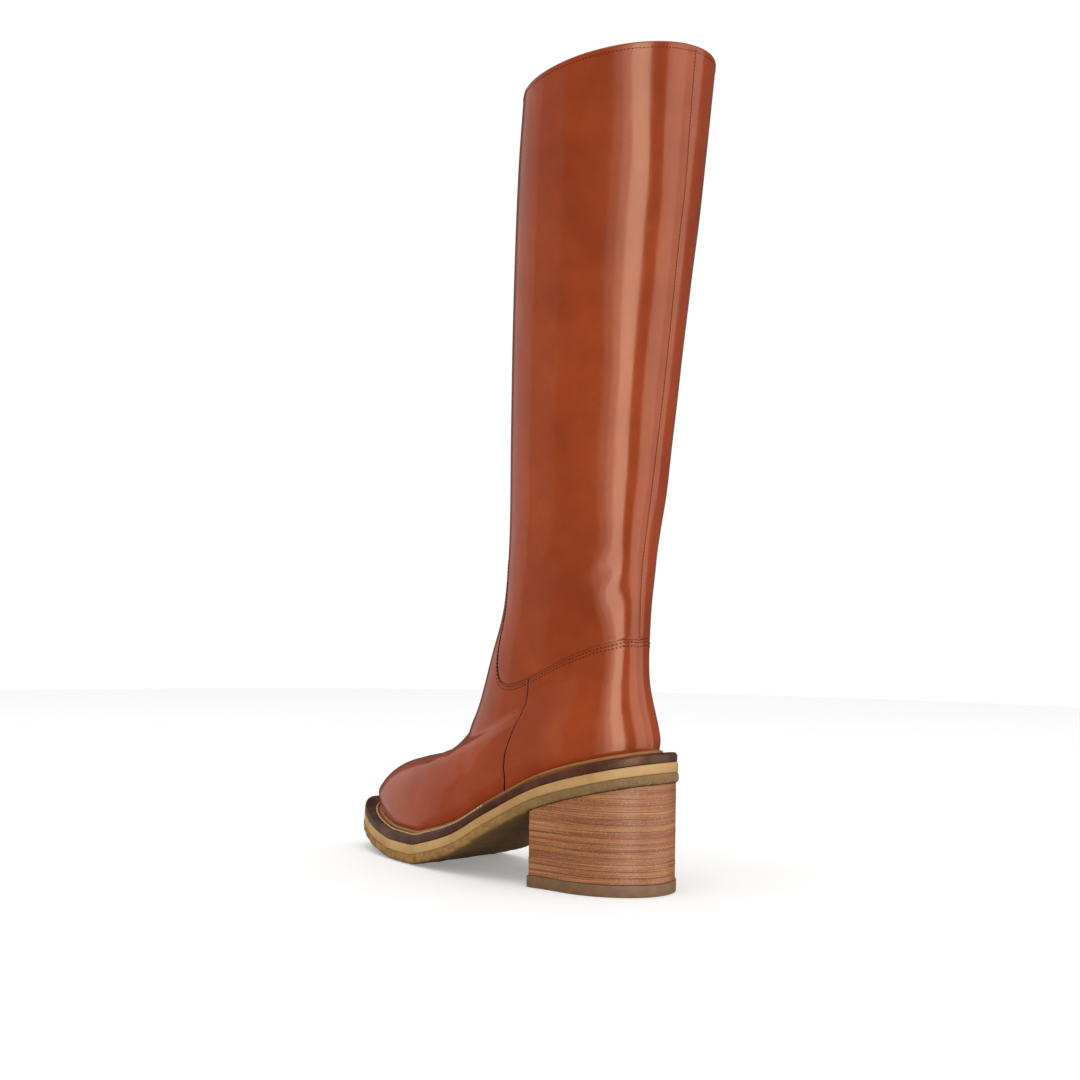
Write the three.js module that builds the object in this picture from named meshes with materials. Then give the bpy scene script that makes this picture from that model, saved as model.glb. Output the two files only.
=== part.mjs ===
// Left knee-high leather boot on a crepe sole with a stacked block heel.
// Millimetres, +Z up, toe towards -Y, outer side of the foot towards +X.
import * as THREE from 'three';

// ---- driving dimensions -----------------------------------------------------
// The sole plan is measured along "run": 0 at the back of the heel, growing to the toe.
const SOLE = {
  length: 252.3,
  heelHalf: 35,
  heelRun: 44,
  heelRoundness: 1.97,
  outerBallHalf: 41.05,
  outerBallRun: 113,
  outerToeRoundness: 1.98,
  outerWaistPinch: 0.2,
  innerBallHalf: 39,
  innerBallRun: 170,
  innerToeRoundness: 2.1,
  innerWaistPinch: 6.8,
  toeSwing: 11.4,
  swingPower: 2.45,
};
const LAYER = { outsole: 6.0, midsole: 5.4, welt: 5.6, gap: 0.3, lastingGap: 0.4 };
const WELT_SETBACK = 0.7;
const MIDSOLE_SETBACK = 0.2;
const HEEL = { breastRun: 70.4, setback: 1.2, liftSetback: 0.5, liftHeight: 6.5 };
const LEATHER = { wall: 2.2, overlay: 1.1, overlayGap: 0.55 };
const INSOLE = { thickness: 2.4, clearance: 0.5, lift: 0.3 };

// Height of the sole's underside along the run: heel seat, arch, flat tread, toe spring.
const UNDERSIDE = [
  { run: -20, height: 63.4 },
  { run: 0, height: 60.3 },
  { run: 30, height: 53.4 },
  { run: 65, height: 43.2 },
  { run: 100, height: 26.0 },
  { run: 130, height: 10.6 },
  { run: 155, height: 3.1 },
  { run: 170, height: 0 },
  { run: 192, height: 0 },
  { run: 205, height: 1.5 },
  { run: 220, height: 4.2 },
  { run: 235, height: 8.1 },
  { run: 252.3, height: 14.6 },
];

// Closed sections of the upper, from the lasting edge up to the collar.
// front/back: run and height of the section's ends; outer/inner: half-widths;
// oval: superellipse power; foot: share of the sole's plan shape in the section;
// sole: share of the sole's side curve; rise: how late the section climbs to its back.
const SECTIONS = [
  { frontRun: 234.5, frontZ: 26.0, backRun: 12.0, backZ: 76.0, outer: 34.3, inner: 31.1, oval: 2, foot: 1, sole: 1, rise: 1 },
  { frontRun: 238.7, frontZ: 31.0, backRun: 11.8, backZ: 82.0, outer: 36.5, inner: 33.8, oval: 2, foot: 1, sole: 1, rise: 1 },
  { frontRun: 238.8, frontZ: 37.0, backRun: 13.4, backZ: 90.0, outer: 37.8, inner: 34.8, oval: 2, foot: 0.97, sole: 0.9, rise: 1.08 },
  { frontRun: 233.8, frontZ: 42.6, backRun: 15.6, backZ: 98.0, outer: 37.8, inner: 34.6, oval: 2.05, foot: 0.9, sole: 0.75, rise: 1.2 },
  { frontRun: 224.4, frontZ: 49.0, backRun: 17.7, backZ: 106.0, outer: 36.5, inner: 34.0, oval: 2.1, foot: 0.78, sole: 0.58, rise: 1.32 },
  { frontRun: 209.6, frontZ: 55.6, backRun: 19.4, backZ: 115.0, outer: 34.2, inner: 33.2, oval: 2.1, foot: 0.62, sole: 0.4, rise: 1.42 },
  { frontRun: 189.7, frontZ: 60.8, backRun: 20.2, backZ: 125.0, outer: 31.4, inner: 33.0, oval: 2.1, foot: 0.44, sole: 0.24, rise: 1.5 },
  { frontRun: 170.6, frontZ: 65.0, backRun: 20.5, backZ: 136.0, outer: 29.3, inner: 33.6, oval: 2.1, foot: 0.28, sole: 0.12, rise: 1.5 },
  { frontRun: 155.0, frontZ: 72.0, backRun: 20.4, backZ: 147.0, outer: 28.3, inner: 34.0, oval: 2.1, foot: 0.16, sole: 0.05, rise: 1.5 },
  { frontRun: 141.4, frontZ: 89.5, backRun: 20.2, backZ: 159.0, outer: 28.4, inner: 34.5, oval: 2.1, foot: 0.08, sole: 0, rise: 1.42 },
  { frontRun: 127.8, frontZ: 122.5, backRun: 19.2, backZ: 175.0, outer: 29.1, inner: 35.5, oval: 2.1, foot: 0.02, sole: 0, rise: 1.32 },
  { frontRun: 116.2, frontZ: 154.0, backRun: 17.2, backZ: 195.0, outer: 31.0, inner: 36.6, oval: 2.05, foot: 0, sole: 0, rise: 1.2 },
  { frontRun: 110.6, frontZ: 198.0, backRun: 13.3, backZ: 220.0, outer: 34.9, inner: 37.7, oval: 2.05, foot: 0, sole: 0, rise: 1.1 },
  { frontRun: 108.7, frontZ: 248.0, backRun: 7.3, backZ: 262.0, outer: 39.1, inner: 39.5, oval: 2.05, foot: 0, sole: 0, rise: 1 },
  { frontRun: 107.2, frontZ: 300.0, backRun: 1.2, backZ: 311.0, outer: 42.2, inner: 41.5, oval: 2.05, foot: 0, sole: 0, rise: 1 },
  { frontRun: 104.9, frontZ: 350.0, backRun: -4.2, backZ: 361.0, outer: 45.0, inner: 44.4, oval: 2.05, foot: 0, sole: 0, rise: 1 },
  { frontRun: 101.3, frontZ: 400.0, backRun: -9.6, backZ: 411.0, outer: 47.9, inner: 47.7, oval: 2.05, foot: 0, sole: 0, rise: 1 },
  { frontRun: 96.8, frontZ: 438.0, backRun: -13.8, backZ: 458.0, outer: 49.8, inner: 50.0, oval: 2.05, foot: 0, sole: 0, rise: 1 },
];

// Top edge of the foot covers: the section number it reaches at each angle from the back seam.
const COVER_EDGE = [
  { angle: 0, section: 7.1 },
  { angle: 24, section: 7.45 },
  { angle: 45, section: 8.0 },
  { angle: 65, section: 8.5 },
  { angle: 86, section: 8.8 },
  { angle: 104, section: 9.15 },
  { angle: 117, section: 9.5 },
  { angle: 126, section: 10.0 },
  { angle: 132, section: 10.75 },
  { angle: 139, section: 11.35 },
  { angle: 150, section: 11.62 },
  { angle: 180, section: 11.72 },
];

// Side seam between counter and vamp: its angle from the back seam at each section.
const SIDE_SEAM = [
  { section: 0, angle: 73 },
  { section: 2, angle: 71 },
  { section: 4, angle: 71 },
  { section: 5.3, angle: 72.5 },
  { section: 6.8, angle: 78 },
  { section: 8, angle: 83 },
  { section: 8.8, angle: 86 },
  { section: 12, angle: 90 },
];
const SIDE_SEAM_GAP = 0.35;

const SOLE_STATIONS = 36;
const HEEL_STATIONS = 18;
const UPPER_ROWS = 40;
const UPPER_AROUND = 44;
const VAMP_GRID = { along: 28, up: 22 };
const COUNTER_GRID = { along: 15, up: 11 };

// ---- shape functions ----------------------------------------------------------
function clamp01(value) {
  return Math.min(1, Math.max(0, value));
}

// Monotone cubic through the points (xs, ys), straight outside them.
function monotoneCurve(xs, ys) {
  const count = xs.length;
  const step = [];
  const slope = [];
  for (let i = 0; i < count - 1; i++) {
    step.push(xs[i + 1] - xs[i]);
    slope.push((ys[i + 1] - ys[i]) / step[i]);
  }
  const tangent = [slope[0]];
  for (let i = 1; i < count - 1; i++) {
    if (slope[i - 1] * slope[i] <= 0) {
      tangent.push(0);
    } else {
      const a = 2 * step[i] + step[i - 1];
      const b = step[i] + 2 * step[i - 1];
      tangent.push((a + b) / (a / slope[i - 1] + b / slope[i]));
    }
  }
  tangent.push(slope[count - 2]);
  return (x) => {
    if (x <= xs[0]) return ys[0] + tangent[0] * (x - xs[0]);
    if (x >= xs[count - 1]) return ys[count - 1] + tangent[count - 1] * (x - xs[count - 1]);
    let i = 0;
    while (x > xs[i + 1]) i++;
    const h = step[i];
    const s = (x - xs[i]) / h;
    const s2 = s * s;
    const s3 = s2 * s;
    return (2 * s3 - 3 * s2 + 1) * ys[i] + (s3 - 2 * s2 + s) * h * tangent[i]
      + (3 * s2 - 2 * s3) * ys[i + 1] + (s3 - s2) * h * tangent[i + 1];
  };
}

function tableCurve(table, from, to) {
  return monotoneCurve(table.map((row) => row[from]), table.map((row) => row[to]));
}

const underside = tableCurve(UNDERSIDE, 'run', 'height');
const outsoleTop = (run) => underside(run) + LAYER.outsole;
const midsoleTop = (run) => outsoleTop(run) + LAYER.gap + LAYER.midsole;
const weltTop = (run) => midsoleTop(run) + LAYER.gap + LAYER.welt;
const lastingLine = (run) => weltTop(run) + LAYER.lastingGap;

// Half-width of the sole on one side; grow moves the whole outline out by that distance.
function soleHalf(run, side, grow) {
  const outer = side > 0;
  const ball = (outer ? SOLE.outerBallHalf : SOLE.innerBallHalf) + grow;
  const ballRun = outer ? SOLE.outerBallRun : SOLE.innerBallRun;
  const pinch = outer ? SOLE.outerWaistPinch : SOLE.innerWaistPinch;
  const roundness = outer ? SOLE.outerToeRoundness : SOLE.innerToeRoundness;
  const heel = SOLE.heelHalf + grow;
  const at = run + grow;
  const length = SOLE.length + 2 * grow;
  if (at < SOLE.heelRun) {
    const s = clamp01((SOLE.heelRun - at) / SOLE.heelRun);
    return heel * Math.pow(1 - Math.pow(s, SOLE.heelRoundness), 1 / SOLE.heelRoundness);
  }
  if (at < ballRun) {
    const s = (at - SOLE.heelRun) / (ballRun - SOLE.heelRun);
    return heel + (ball - heel) * s * s * (3 - 2 * s) - pinch * Math.sin(Math.PI * s) ** 2;
  }
  const s = clamp01((at - ballRun) / (length - ballRun));
  return ball * Math.pow(1 - Math.pow(s, roundness), 1 / roundness);
}

function soleCentre(run) {
  return -SOLE.toeSwing * Math.pow(clamp01(run / SOLE.length), SOLE.swingPower);
}

const sectionColumns = ['frontRun', 'frontZ', 'backRun', 'backZ', 'outer', 'inner', 'oval', 'foot', 'sole', 'rise'];
const sectionCurves = {};
for (const column of sectionColumns) {
  sectionCurves[column] = monotoneCurve(SECTIONS.map((row, i) => i), SECTIONS.map((row) => row[column]));
}

function superEllipse(value, power) {
  return Math.sign(value) * Math.pow(Math.abs(value), 2 / power);
}

// Point of the finished leather surface; angle 0 is the back seam, 90 the outer side.
function leatherPoint(section, angle) {
  const q = {};
  for (const column of sectionColumns) q[column] = sectionCurves[column](section);
  const radians = THREE.MathUtils.degToRad(angle);
  const c = Math.cos(radians);
  const s = Math.sin(radians);
  const side = s >= 0 ? 1 : -1;
  const half = side > 0 ? q.outer : q.inner;
  const ovalRun = q.backRun + (q.frontRun - q.backRun) * (1 - superEllipse(c, q.oval)) / 2;
  const ovalX = superEllipse(s, q.oval) * half;
  const share = (1 - c) / 2;
  const footRun = q.backRun + (q.frontRun - q.backRun) * share;
  const widest = side > 0 ? SOLE.outerBallHalf : SOLE.innerBallHalf;
  const footX = side * soleHalf(share * SOLE.length, side, 0) / widest * half + soleCentre(share * SOLE.length);
  const run = ovalRun + (footRun - ovalRun) * q.foot;
  const x = ovalX + (footX - ovalX) * q.foot;
  const back = clamp01((run - q.frontRun) / (q.backRun - q.frontRun));
  const chord = q.frontZ + (q.backZ - q.frontZ) * Math.pow(back, q.rise);
  const frontLine = lastingLine(q.frontRun);
  const backLine = lastingLine(q.backRun);
  const sag = lastingLine(run) - (frontLine + (backLine - frontLine) * back);
  return new THREE.Vector3(x, -run, chord + sag * q.sole);
}

function leatherNormal(section, angle) {
  const ds = 0.02;
  const da = 0.8;
  const top = SECTIONS.length - 1;
  const up = leatherPoint(Math.min(top, section + ds), angle).sub(leatherPoint(Math.max(0, section - ds), angle));
  const around = leatherPoint(section, angle + da).sub(leatherPoint(section, angle - da));
  return up.cross(around).normalize();
}

function leatherOffset(section, angle, offset) {
  return leatherPoint(section, angle).addScaledVector(leatherNormal(section, angle), offset);
}

const coverEdge = tableCurve(COVER_EDGE, 'angle', 'section');
const sideSeam = tableCurve(SIDE_SEAM, 'section', 'angle');

function coverTop(angle) {
  const wrapped = Math.abs(((angle + 180) % 360 + 360) % 360 - 180);
  return coverEdge(wrapped);
}

// How far the upper itself lies below the finished surface where a cover goes over it.
function underCover(section, angle) {
  const s = clamp01((coverTop(angle) + 0.75 - section) / 0.55);
  return (LEATHER.overlay + LEATHER.overlayGap) * s * s * (3 - 2 * s);
}

// ---- mesh builders -------------------------------------------------------------
function toGeometry(points, triangles) {
  const geometry = new THREE.BufferGeometry();
  const flat = [];
  for (const p of points) flat.push(p.x, p.y, p.z);
  geometry.setAttribute('position', new THREE.Float32BufferAttribute(flat, 3));
  geometry.setIndex(triangles);
  geometry.computeVertexNormals();
  return geometry;
}

// Corners are given clockwise as seen from outside the solid.
function addTriangle(triangles, a, b, c) {
  triangles.push(a, c, b);
}

function addQuad(triangles, a, b, c, d) {
  addTriangle(triangles, a, b, c);
  addTriangle(triangles, a, c, d);
}

// Solid between two heights over the sole plan, from startRun to endRun.
function soleSolid(stations, grow, startRun, endRun, low, high) {
  const outer = [];
  const inner = [];
  for (let i = 0; i <= stations; i++) {
    const share = (1 - Math.cos(Math.PI * i / stations)) / 2;
    const run = startRun + (endRun - startRun) * share;
    outer.push({ run, x: soleCentre(run) + soleHalf(run, 1, grow) });
    inner.push({ run, x: soleCentre(run) - soleHalf(run, -1, grow) });
  }
  const points = [];
  const rows = outer.map((right, i) => {
    const left = inner[i];
    const ends = Math.abs(right.x - left.x) < 1e-6 ? [right] : [right, left];
    return ends.map((end) => {
      points.push(new THREE.Vector3(end.x, -end.run, low(end.run)));
      points.push(new THREE.Vector3(end.x, -end.run, high(end.run)));
      return points.length - 2;
    });
  });
  const triangles = [];
  const joinRows = (a, b) => {
    const a0 = a[0];
    const a1 = a[a.length - 1];
    const b0 = b[0];
    const b1 = b[b.length - 1];
    addQuad(triangles, a0, b0, b0 + 1, a0 + 1);
    addQuad(triangles, b1, a1, a1 + 1, b1 + 1);
    if (a.length === 1) {
      addTriangle(triangles, a0, b1, b0);
      addTriangle(triangles, a0 + 1, b0 + 1, b1 + 1);
    } else if (b.length === 1) {
      addTriangle(triangles, a0, a1, b0);
      addTriangle(triangles, a0 + 1, b0 + 1, a1 + 1);
    } else {
      addQuad(triangles, a0, a1, b1, b0);
      addQuad(triangles, a0 + 1, b0 + 1, b1 + 1, a1 + 1);
    }
  };
  for (let i = 0; i < rows.length - 1; i++) joinRows(rows[i], rows[i + 1]);
  const first = rows[0];
  const last = rows[rows.length - 1];
  if (first.length === 2) addQuad(triangles, first[1], first[0], first[0] + 1, first[1] + 1);
  if (last.length === 2) addQuad(triangles, last[0], last[1], last[1] + 1, last[0] + 1);
  return toGeometry(points, triangles);
}

// One wall around the foot and leg, open at both ends.
function upperShell() {
  const top = SECTIONS.length - 1;
  const points = [];
  const triangles = [];
  const outer = (row, k) => row * UPPER_AROUND + (k % UPPER_AROUND);
  const inner = (row, k) => (UPPER_ROWS + 1) * UPPER_AROUND + outer(row, k);
  for (const depth of [0, LEATHER.wall]) {
    for (let row = 0; row <= UPPER_ROWS; row++) {
      const section = top * row / UPPER_ROWS;
      for (let k = 0; k < UPPER_AROUND; k++) {
        const angle = 360 * k / UPPER_AROUND;
        const p = leatherOffset(section, angle, -underCover(section, angle) - depth);
        if (row === 0) p.z = lastingLine(-p.y);
        if (row === UPPER_ROWS) p.z = leatherPoint(top, angle).z;
        points.push(p);
      }
    }
  }
  for (let k = 0; k < UPPER_AROUND; k++) {
    for (let row = 0; row < UPPER_ROWS; row++) {
      addQuad(triangles, outer(row, k), outer(row, k + 1), outer(row + 1, k + 1), outer(row + 1, k));
      addQuad(triangles, inner(row, k), inner(row + 1, k), inner(row + 1, k + 1), inner(row, k + 1));
    }
    addQuad(triangles, outer(0, k), inner(0, k), inner(0, k + 1), outer(0, k + 1));
    addQuad(triangles, outer(UPPER_ROWS, k), outer(UPPER_ROWS, k + 1), inner(UPPER_ROWS, k + 1), inner(UPPER_ROWS, k));
  }
  return toGeometry(points, triangles);
}

// A cover lying on the upper between two seam angles, from the lasting edge to the cover edge.
function coverPatch(grid, angleAt) {
  const points = [];
  const triangles = [];
  const wide = grid.along + 1;
  const layer = wide * (grid.up + 1);
  for (const offset of [0, -LEATHER.overlay]) {
    for (let j = 0; j <= grid.up; j++) {
      for (let i = 0; i <= grid.along; i++) {
        const share = i / grid.along;
        const crest = coverTop(angleAt(8.8, share));
        const section = crest * j / grid.up;
        const angle = angleAt(section, share);
        const p = leatherOffset(section, angle, offset);
        if (j === 0) p.z = lastingLine(-p.y);
        points.push(p);
      }
    }
  }
  const at = (i, j) => j * wide + i;
  for (let j = 0; j < grid.up; j++) {
    for (let i = 0; i < grid.along; i++) {
      addQuad(triangles, at(i, j), at(i + 1, j), at(i + 1, j + 1), at(i, j + 1));
      addQuad(triangles, layer + at(i, j), layer + at(i, j + 1), layer + at(i + 1, j + 1), layer + at(i + 1, j));
    }
  }
  for (let i = 0; i < grid.along; i++) {
    addQuad(triangles, at(i, 0), layer + at(i, 0), layer + at(i + 1, 0), at(i + 1, 0));
    addQuad(triangles, at(i, grid.up), at(i + 1, grid.up), layer + at(i + 1, grid.up), layer + at(i, grid.up));
  }
  for (let j = 0; j < grid.up; j++) {
    addQuad(triangles, at(0, j), at(0, j + 1), layer + at(0, j + 1), layer + at(0, j));
    addQuad(triangles, at(grid.along, j), layer + at(grid.along, j), layer + at(grid.along, j + 1), at(grid.along, j + 1));
  }
  return toGeometry(points, triangles);
}

// Board inside the upper, following its inner wall at the lasting edge.
function insoleBoard() {
  const inset = LEATHER.wall + LEATHER.overlay + LEATHER.overlayGap + INSOLE.clearance;
  const rim = [];
  for (let k = 0; k < UPPER_AROUND; k++) {
    const angle = 360 * k / UPPER_AROUND;
    const low = leatherPoint(0, angle);
    const around = leatherPoint(0, angle + 1).sub(leatherPoint(0, angle - 1));
    const inward = new THREE.Vector3(around.y, -around.x, 0).normalize();
    rim.push(low.addScaledVector(inward, inset));
  }
  const points = [];
  const triangles = [];
  for (const lift of [INSOLE.lift, INSOLE.lift + INSOLE.thickness]) {
    for (const p of rim) points.push(new THREE.Vector3(p.x, p.y, lastingLine(-p.y) + lift));
  }
  const half = UPPER_AROUND / 2;
  for (let k = 0; k < UPPER_AROUND; k++) {
    const next = (k + 1) % UPPER_AROUND;
    addQuad(triangles, k, next, UPPER_AROUND + next, UPPER_AROUND + k);
  }
  for (let k = 0; k < half; k++) {
    const a = k;
    const b = k + 1;
    const c = (UPPER_AROUND - k - 1) % UPPER_AROUND;
    const d = (UPPER_AROUND - k) % UPPER_AROUND;
    if (a !== d) {
      addTriangle(triangles, d, b, a);
      addTriangle(triangles, UPPER_AROUND + a, UPPER_AROUND + b, UPPER_AROUND + d);
    }
    if (b !== c) {
      addTriangle(triangles, d, c, b);
      addTriangle(triangles, UPPER_AROUND + b, UPPER_AROUND + c, UPPER_AROUND + d);
    }
  }
  return toGeometry(points, triangles);
}

// ---- materials and assembly ------------------------------------------------------
const cognacLeather = new THREE.MeshStandardMaterial({ color: 0x96492b, roughness: 0.35, name: 'cognac_leather' });
const darkWelt = new THREE.MeshStandardMaterial({ color: 0x523020, roughness: 0.4, name: 'dark_welt' });
const creamMidsole = new THREE.MeshStandardMaterial({ color: 0xc89a62, roughness: 0.7, name: 'cream_midsole' });
const crepeRubber = new THREE.MeshStandardMaterial({ color: 0x8a6834, roughness: 0.8, name: 'crepe_rubber' });
const stackedLeather = new THREE.MeshStandardMaterial({ color: 0x8e5d3c, roughness: 0.55, name: 'stacked_leather' });
const liftRubber = new THREE.MeshStandardMaterial({ color: 0x775234, roughness: 0.7, name: 'lift_rubber' });
const insoleBoardMaterial = new THREE.MeshStandardMaterial({ color: 0xb98a5c, roughness: 0.8, name: 'insole_leather' });

const boot = new THREE.Group();
boot.name = 'boot';

function addPiece(name, geometry, material) {
  const mesh = new THREE.Mesh(geometry, material);
  mesh.name = name;
  boot.add(mesh);
}

const flat = (height) => () => height;
addPiece('outsole', soleSolid(SOLE_STATIONS, 0, 0, SOLE.length, underside, outsoleTop), crepeRubber);
addPiece('midsole', soleSolid(SOLE_STATIONS, -MIDSOLE_SETBACK, MIDSOLE_SETBACK, SOLE.length - MIDSOLE_SETBACK,
  (run) => outsoleTop(run) + LAYER.gap, midsoleTop), creamMidsole);
addPiece('welt', soleSolid(SOLE_STATIONS, -WELT_SETBACK, WELT_SETBACK, SOLE.length - WELT_SETBACK,
  (run) => midsoleTop(run) + LAYER.gap, weltTop), darkWelt);
addPiece('heel_stack', soleSolid(HEEL_STATIONS, -HEEL.setback, HEEL.setback, HEEL.breastRun,
  flat(HEEL.liftHeight), (run) => underside(run) - LAYER.gap), stackedLeather);
addPiece('heel_top_lift', soleSolid(HEEL_STATIONS, -HEEL.liftSetback, HEEL.liftSetback, HEEL.breastRun,
  flat(0), flat(HEEL.liftHeight)), liftRubber);
addPiece('insole', insoleBoard(), insoleBoardMaterial);
addPiece('upper', upperShell(), cognacLeather);
addPiece('vamp', coverPatch(VAMP_GRID, (section, share) => {
  const edge = sideSeam(section) + SIDE_SEAM_GAP;
  return edge + (360 - 2 * edge) * share;
}), cognacLeather);
addPiece('counter', coverPatch(COUNTER_GRID, (section, share) => {
  const edge = sideSeam(section) - SIDE_SEAM_GAP;
  return -edge + 2 * edge * share;
}), cognacLeather);

// The floor and the middle of the footprint box are the origin.
const bounds = new THREE.Box3().setFromObject(boot);
const centreX = (bounds.min.x + bounds.max.x) / 2;
const centreY = (bounds.min.y + bounds.max.y) / 2;
for (const piece of boot.children) piece.geometry.translate(-centreX, -centreY, 0);

export default boot;
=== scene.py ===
"""A left knee-high pull-on boot: polished leather, crepe sole and stacked leather heel.

Shapes are worked out in millimetres in the boot's own sizes. "run" is 0 at the back of the
heel and grows to the toe. "section" is the number of a closed section of the upper, 0 at the
lasting edge and 17 at the collar, and "angle" goes round it: 0 is the back seam, 90 the outer
side and 180 the front. Meshes are placed in metres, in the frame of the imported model.
"""

import logging
import math
from dataclasses import dataclass
from enum import Enum
from typing import Callable, Iterable, Sequence

import bmesh
import bpy
import numpy as np
from mathutils import Matrix, Vector, noise


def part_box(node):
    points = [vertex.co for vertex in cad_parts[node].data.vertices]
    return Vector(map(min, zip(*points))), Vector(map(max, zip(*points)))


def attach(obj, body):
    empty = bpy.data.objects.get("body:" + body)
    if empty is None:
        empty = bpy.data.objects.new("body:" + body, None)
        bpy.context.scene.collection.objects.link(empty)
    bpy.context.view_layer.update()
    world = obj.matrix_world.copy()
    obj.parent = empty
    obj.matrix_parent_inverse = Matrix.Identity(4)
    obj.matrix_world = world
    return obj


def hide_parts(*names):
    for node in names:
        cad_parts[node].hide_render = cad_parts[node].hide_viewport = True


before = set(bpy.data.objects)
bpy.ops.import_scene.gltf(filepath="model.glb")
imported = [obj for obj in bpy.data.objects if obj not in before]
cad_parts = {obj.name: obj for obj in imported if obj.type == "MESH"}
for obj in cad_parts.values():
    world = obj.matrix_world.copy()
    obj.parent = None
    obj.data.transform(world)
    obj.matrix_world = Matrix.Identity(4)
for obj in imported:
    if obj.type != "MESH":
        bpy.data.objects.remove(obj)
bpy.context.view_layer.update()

MM = 0.001
BODY = "root"
TOP_SECTION = 17.0
TINY = 1e-9
NO_RIM = 20.0
log = logging.getLogger("boot")

Place = Callable[[np.ndarray, np.ndarray], np.ndarray]
Colour = tuple[float, float, float, float]
Socket = bpy.types.NodeSocket


def smooth_step(value: np.ndarray) -> np.ndarray:
    """Eases 0..1 in and out, clamped outside.

    Args:
        value: Numbers to ease.

    Returns:
        The eased numbers.
    """
    s = np.clip(value, 0.0, 1.0)
    return s * s * (3.0 - 2.0 * s)


def unit(vectors: np.ndarray) -> np.ndarray:
    """Scales each row to length one.

    Args:
        vectors: Rows of x, y, z.

    Returns:
        Rows of length one.
    """
    return vectors / np.maximum(np.linalg.norm(vectors, axis=-1, keepdims=True), TINY)


def srgb(red: int, green: int, blue: int) -> Colour:
    """Turns an 8-bit colour into the linear one that nodes take.

    Args:
        red: Red, 0 to 255.
        green: Green, 0 to 255.
        blue: Blue, 0 to 255.

    Returns:
        Linear red, green, blue and an alpha of one.
    """
    linear = []
    for channel in (red, green, blue):
        c = channel / 255.0
        linear.append(c / 12.92 if c <= 0.04045 else ((c + 0.055) / 1.055) ** 2.4)
    return (linear[0], linear[1], linear[2], 1.0)


class MonotoneCurve:
    """A monotone cubic through given points, straight outside them."""

    def __init__(self, xs: Sequence[float], ys: Sequence[float]) -> None:
        """Works out the slopes at the points.

        Args:
            xs: Growing positions.
            ys: Values at the positions.
        """
        self.xs = np.array(xs, dtype=float)
        self.ys = np.array(ys, dtype=float)
        step = np.diff(self.xs)
        slope = np.diff(self.ys) / step
        tangent = np.zeros(len(self.xs))
        tangent[0] = slope[0]
        tangent[-1] = slope[-1]
        for i in range(1, len(self.xs) - 1):
            if slope[i - 1] * slope[i] > 0:
                a = 2 * step[i] + step[i - 1]
                b = step[i] + 2 * step[i - 1]
                tangent[i] = (a + b) / (a / slope[i - 1] + b / slope[i])
        self.tangent = tangent

    def __call__(self, x: np.ndarray | float) -> np.ndarray:
        """Reads the curve.

        Args:
            x: Positions.

        Returns:
            Values at the positions.
        """
        x = np.asarray(x, dtype=float)
        i = np.clip(np.searchsorted(self.xs, x) - 1, 0, len(self.xs) - 2)
        h = self.xs[i + 1] - self.xs[i]
        s = (x - self.xs[i]) / h
        s2 = s * s
        s3 = s2 * s
        inside = ((2 * s3 - 3 * s2 + 1) * self.ys[i] + (s3 - 2 * s2 + s) * h * self.tangent[i]
                  + (3 * s2 - 2 * s3) * self.ys[i + 1] + (s3 - s2) * h * self.tangent[i + 1])
        before = self.ys[0] + self.tangent[0] * (x - self.xs[0])
        after = self.ys[-1] + self.tangent[-1] * (x - self.xs[-1])
        return np.where(x <= self.xs[0], before, np.where(x >= self.xs[-1], after, inside))


def curve(points: Sequence[tuple[float, float]]) -> MonotoneCurve:
    """Makes a monotone curve from pairs.

    Args:
        points: Pairs of position and value.

    Returns:
        The curve.
    """
    return MonotoneCurve([p[0] for p in points], [p[1] for p in points])


# ---- the boot's form --------------------------------------------------------------

UNDERSIDE = curve(((-20, 63.4), (0, 60.3), (30, 53.4), (65, 43.2), (100, 26.0), (130, 10.6), (155, 3.1),
                   (170, 0), (192, 0), (205, 1.5), (220, 4.2), (235, 8.1), (252.3, 14.6)))


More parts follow.
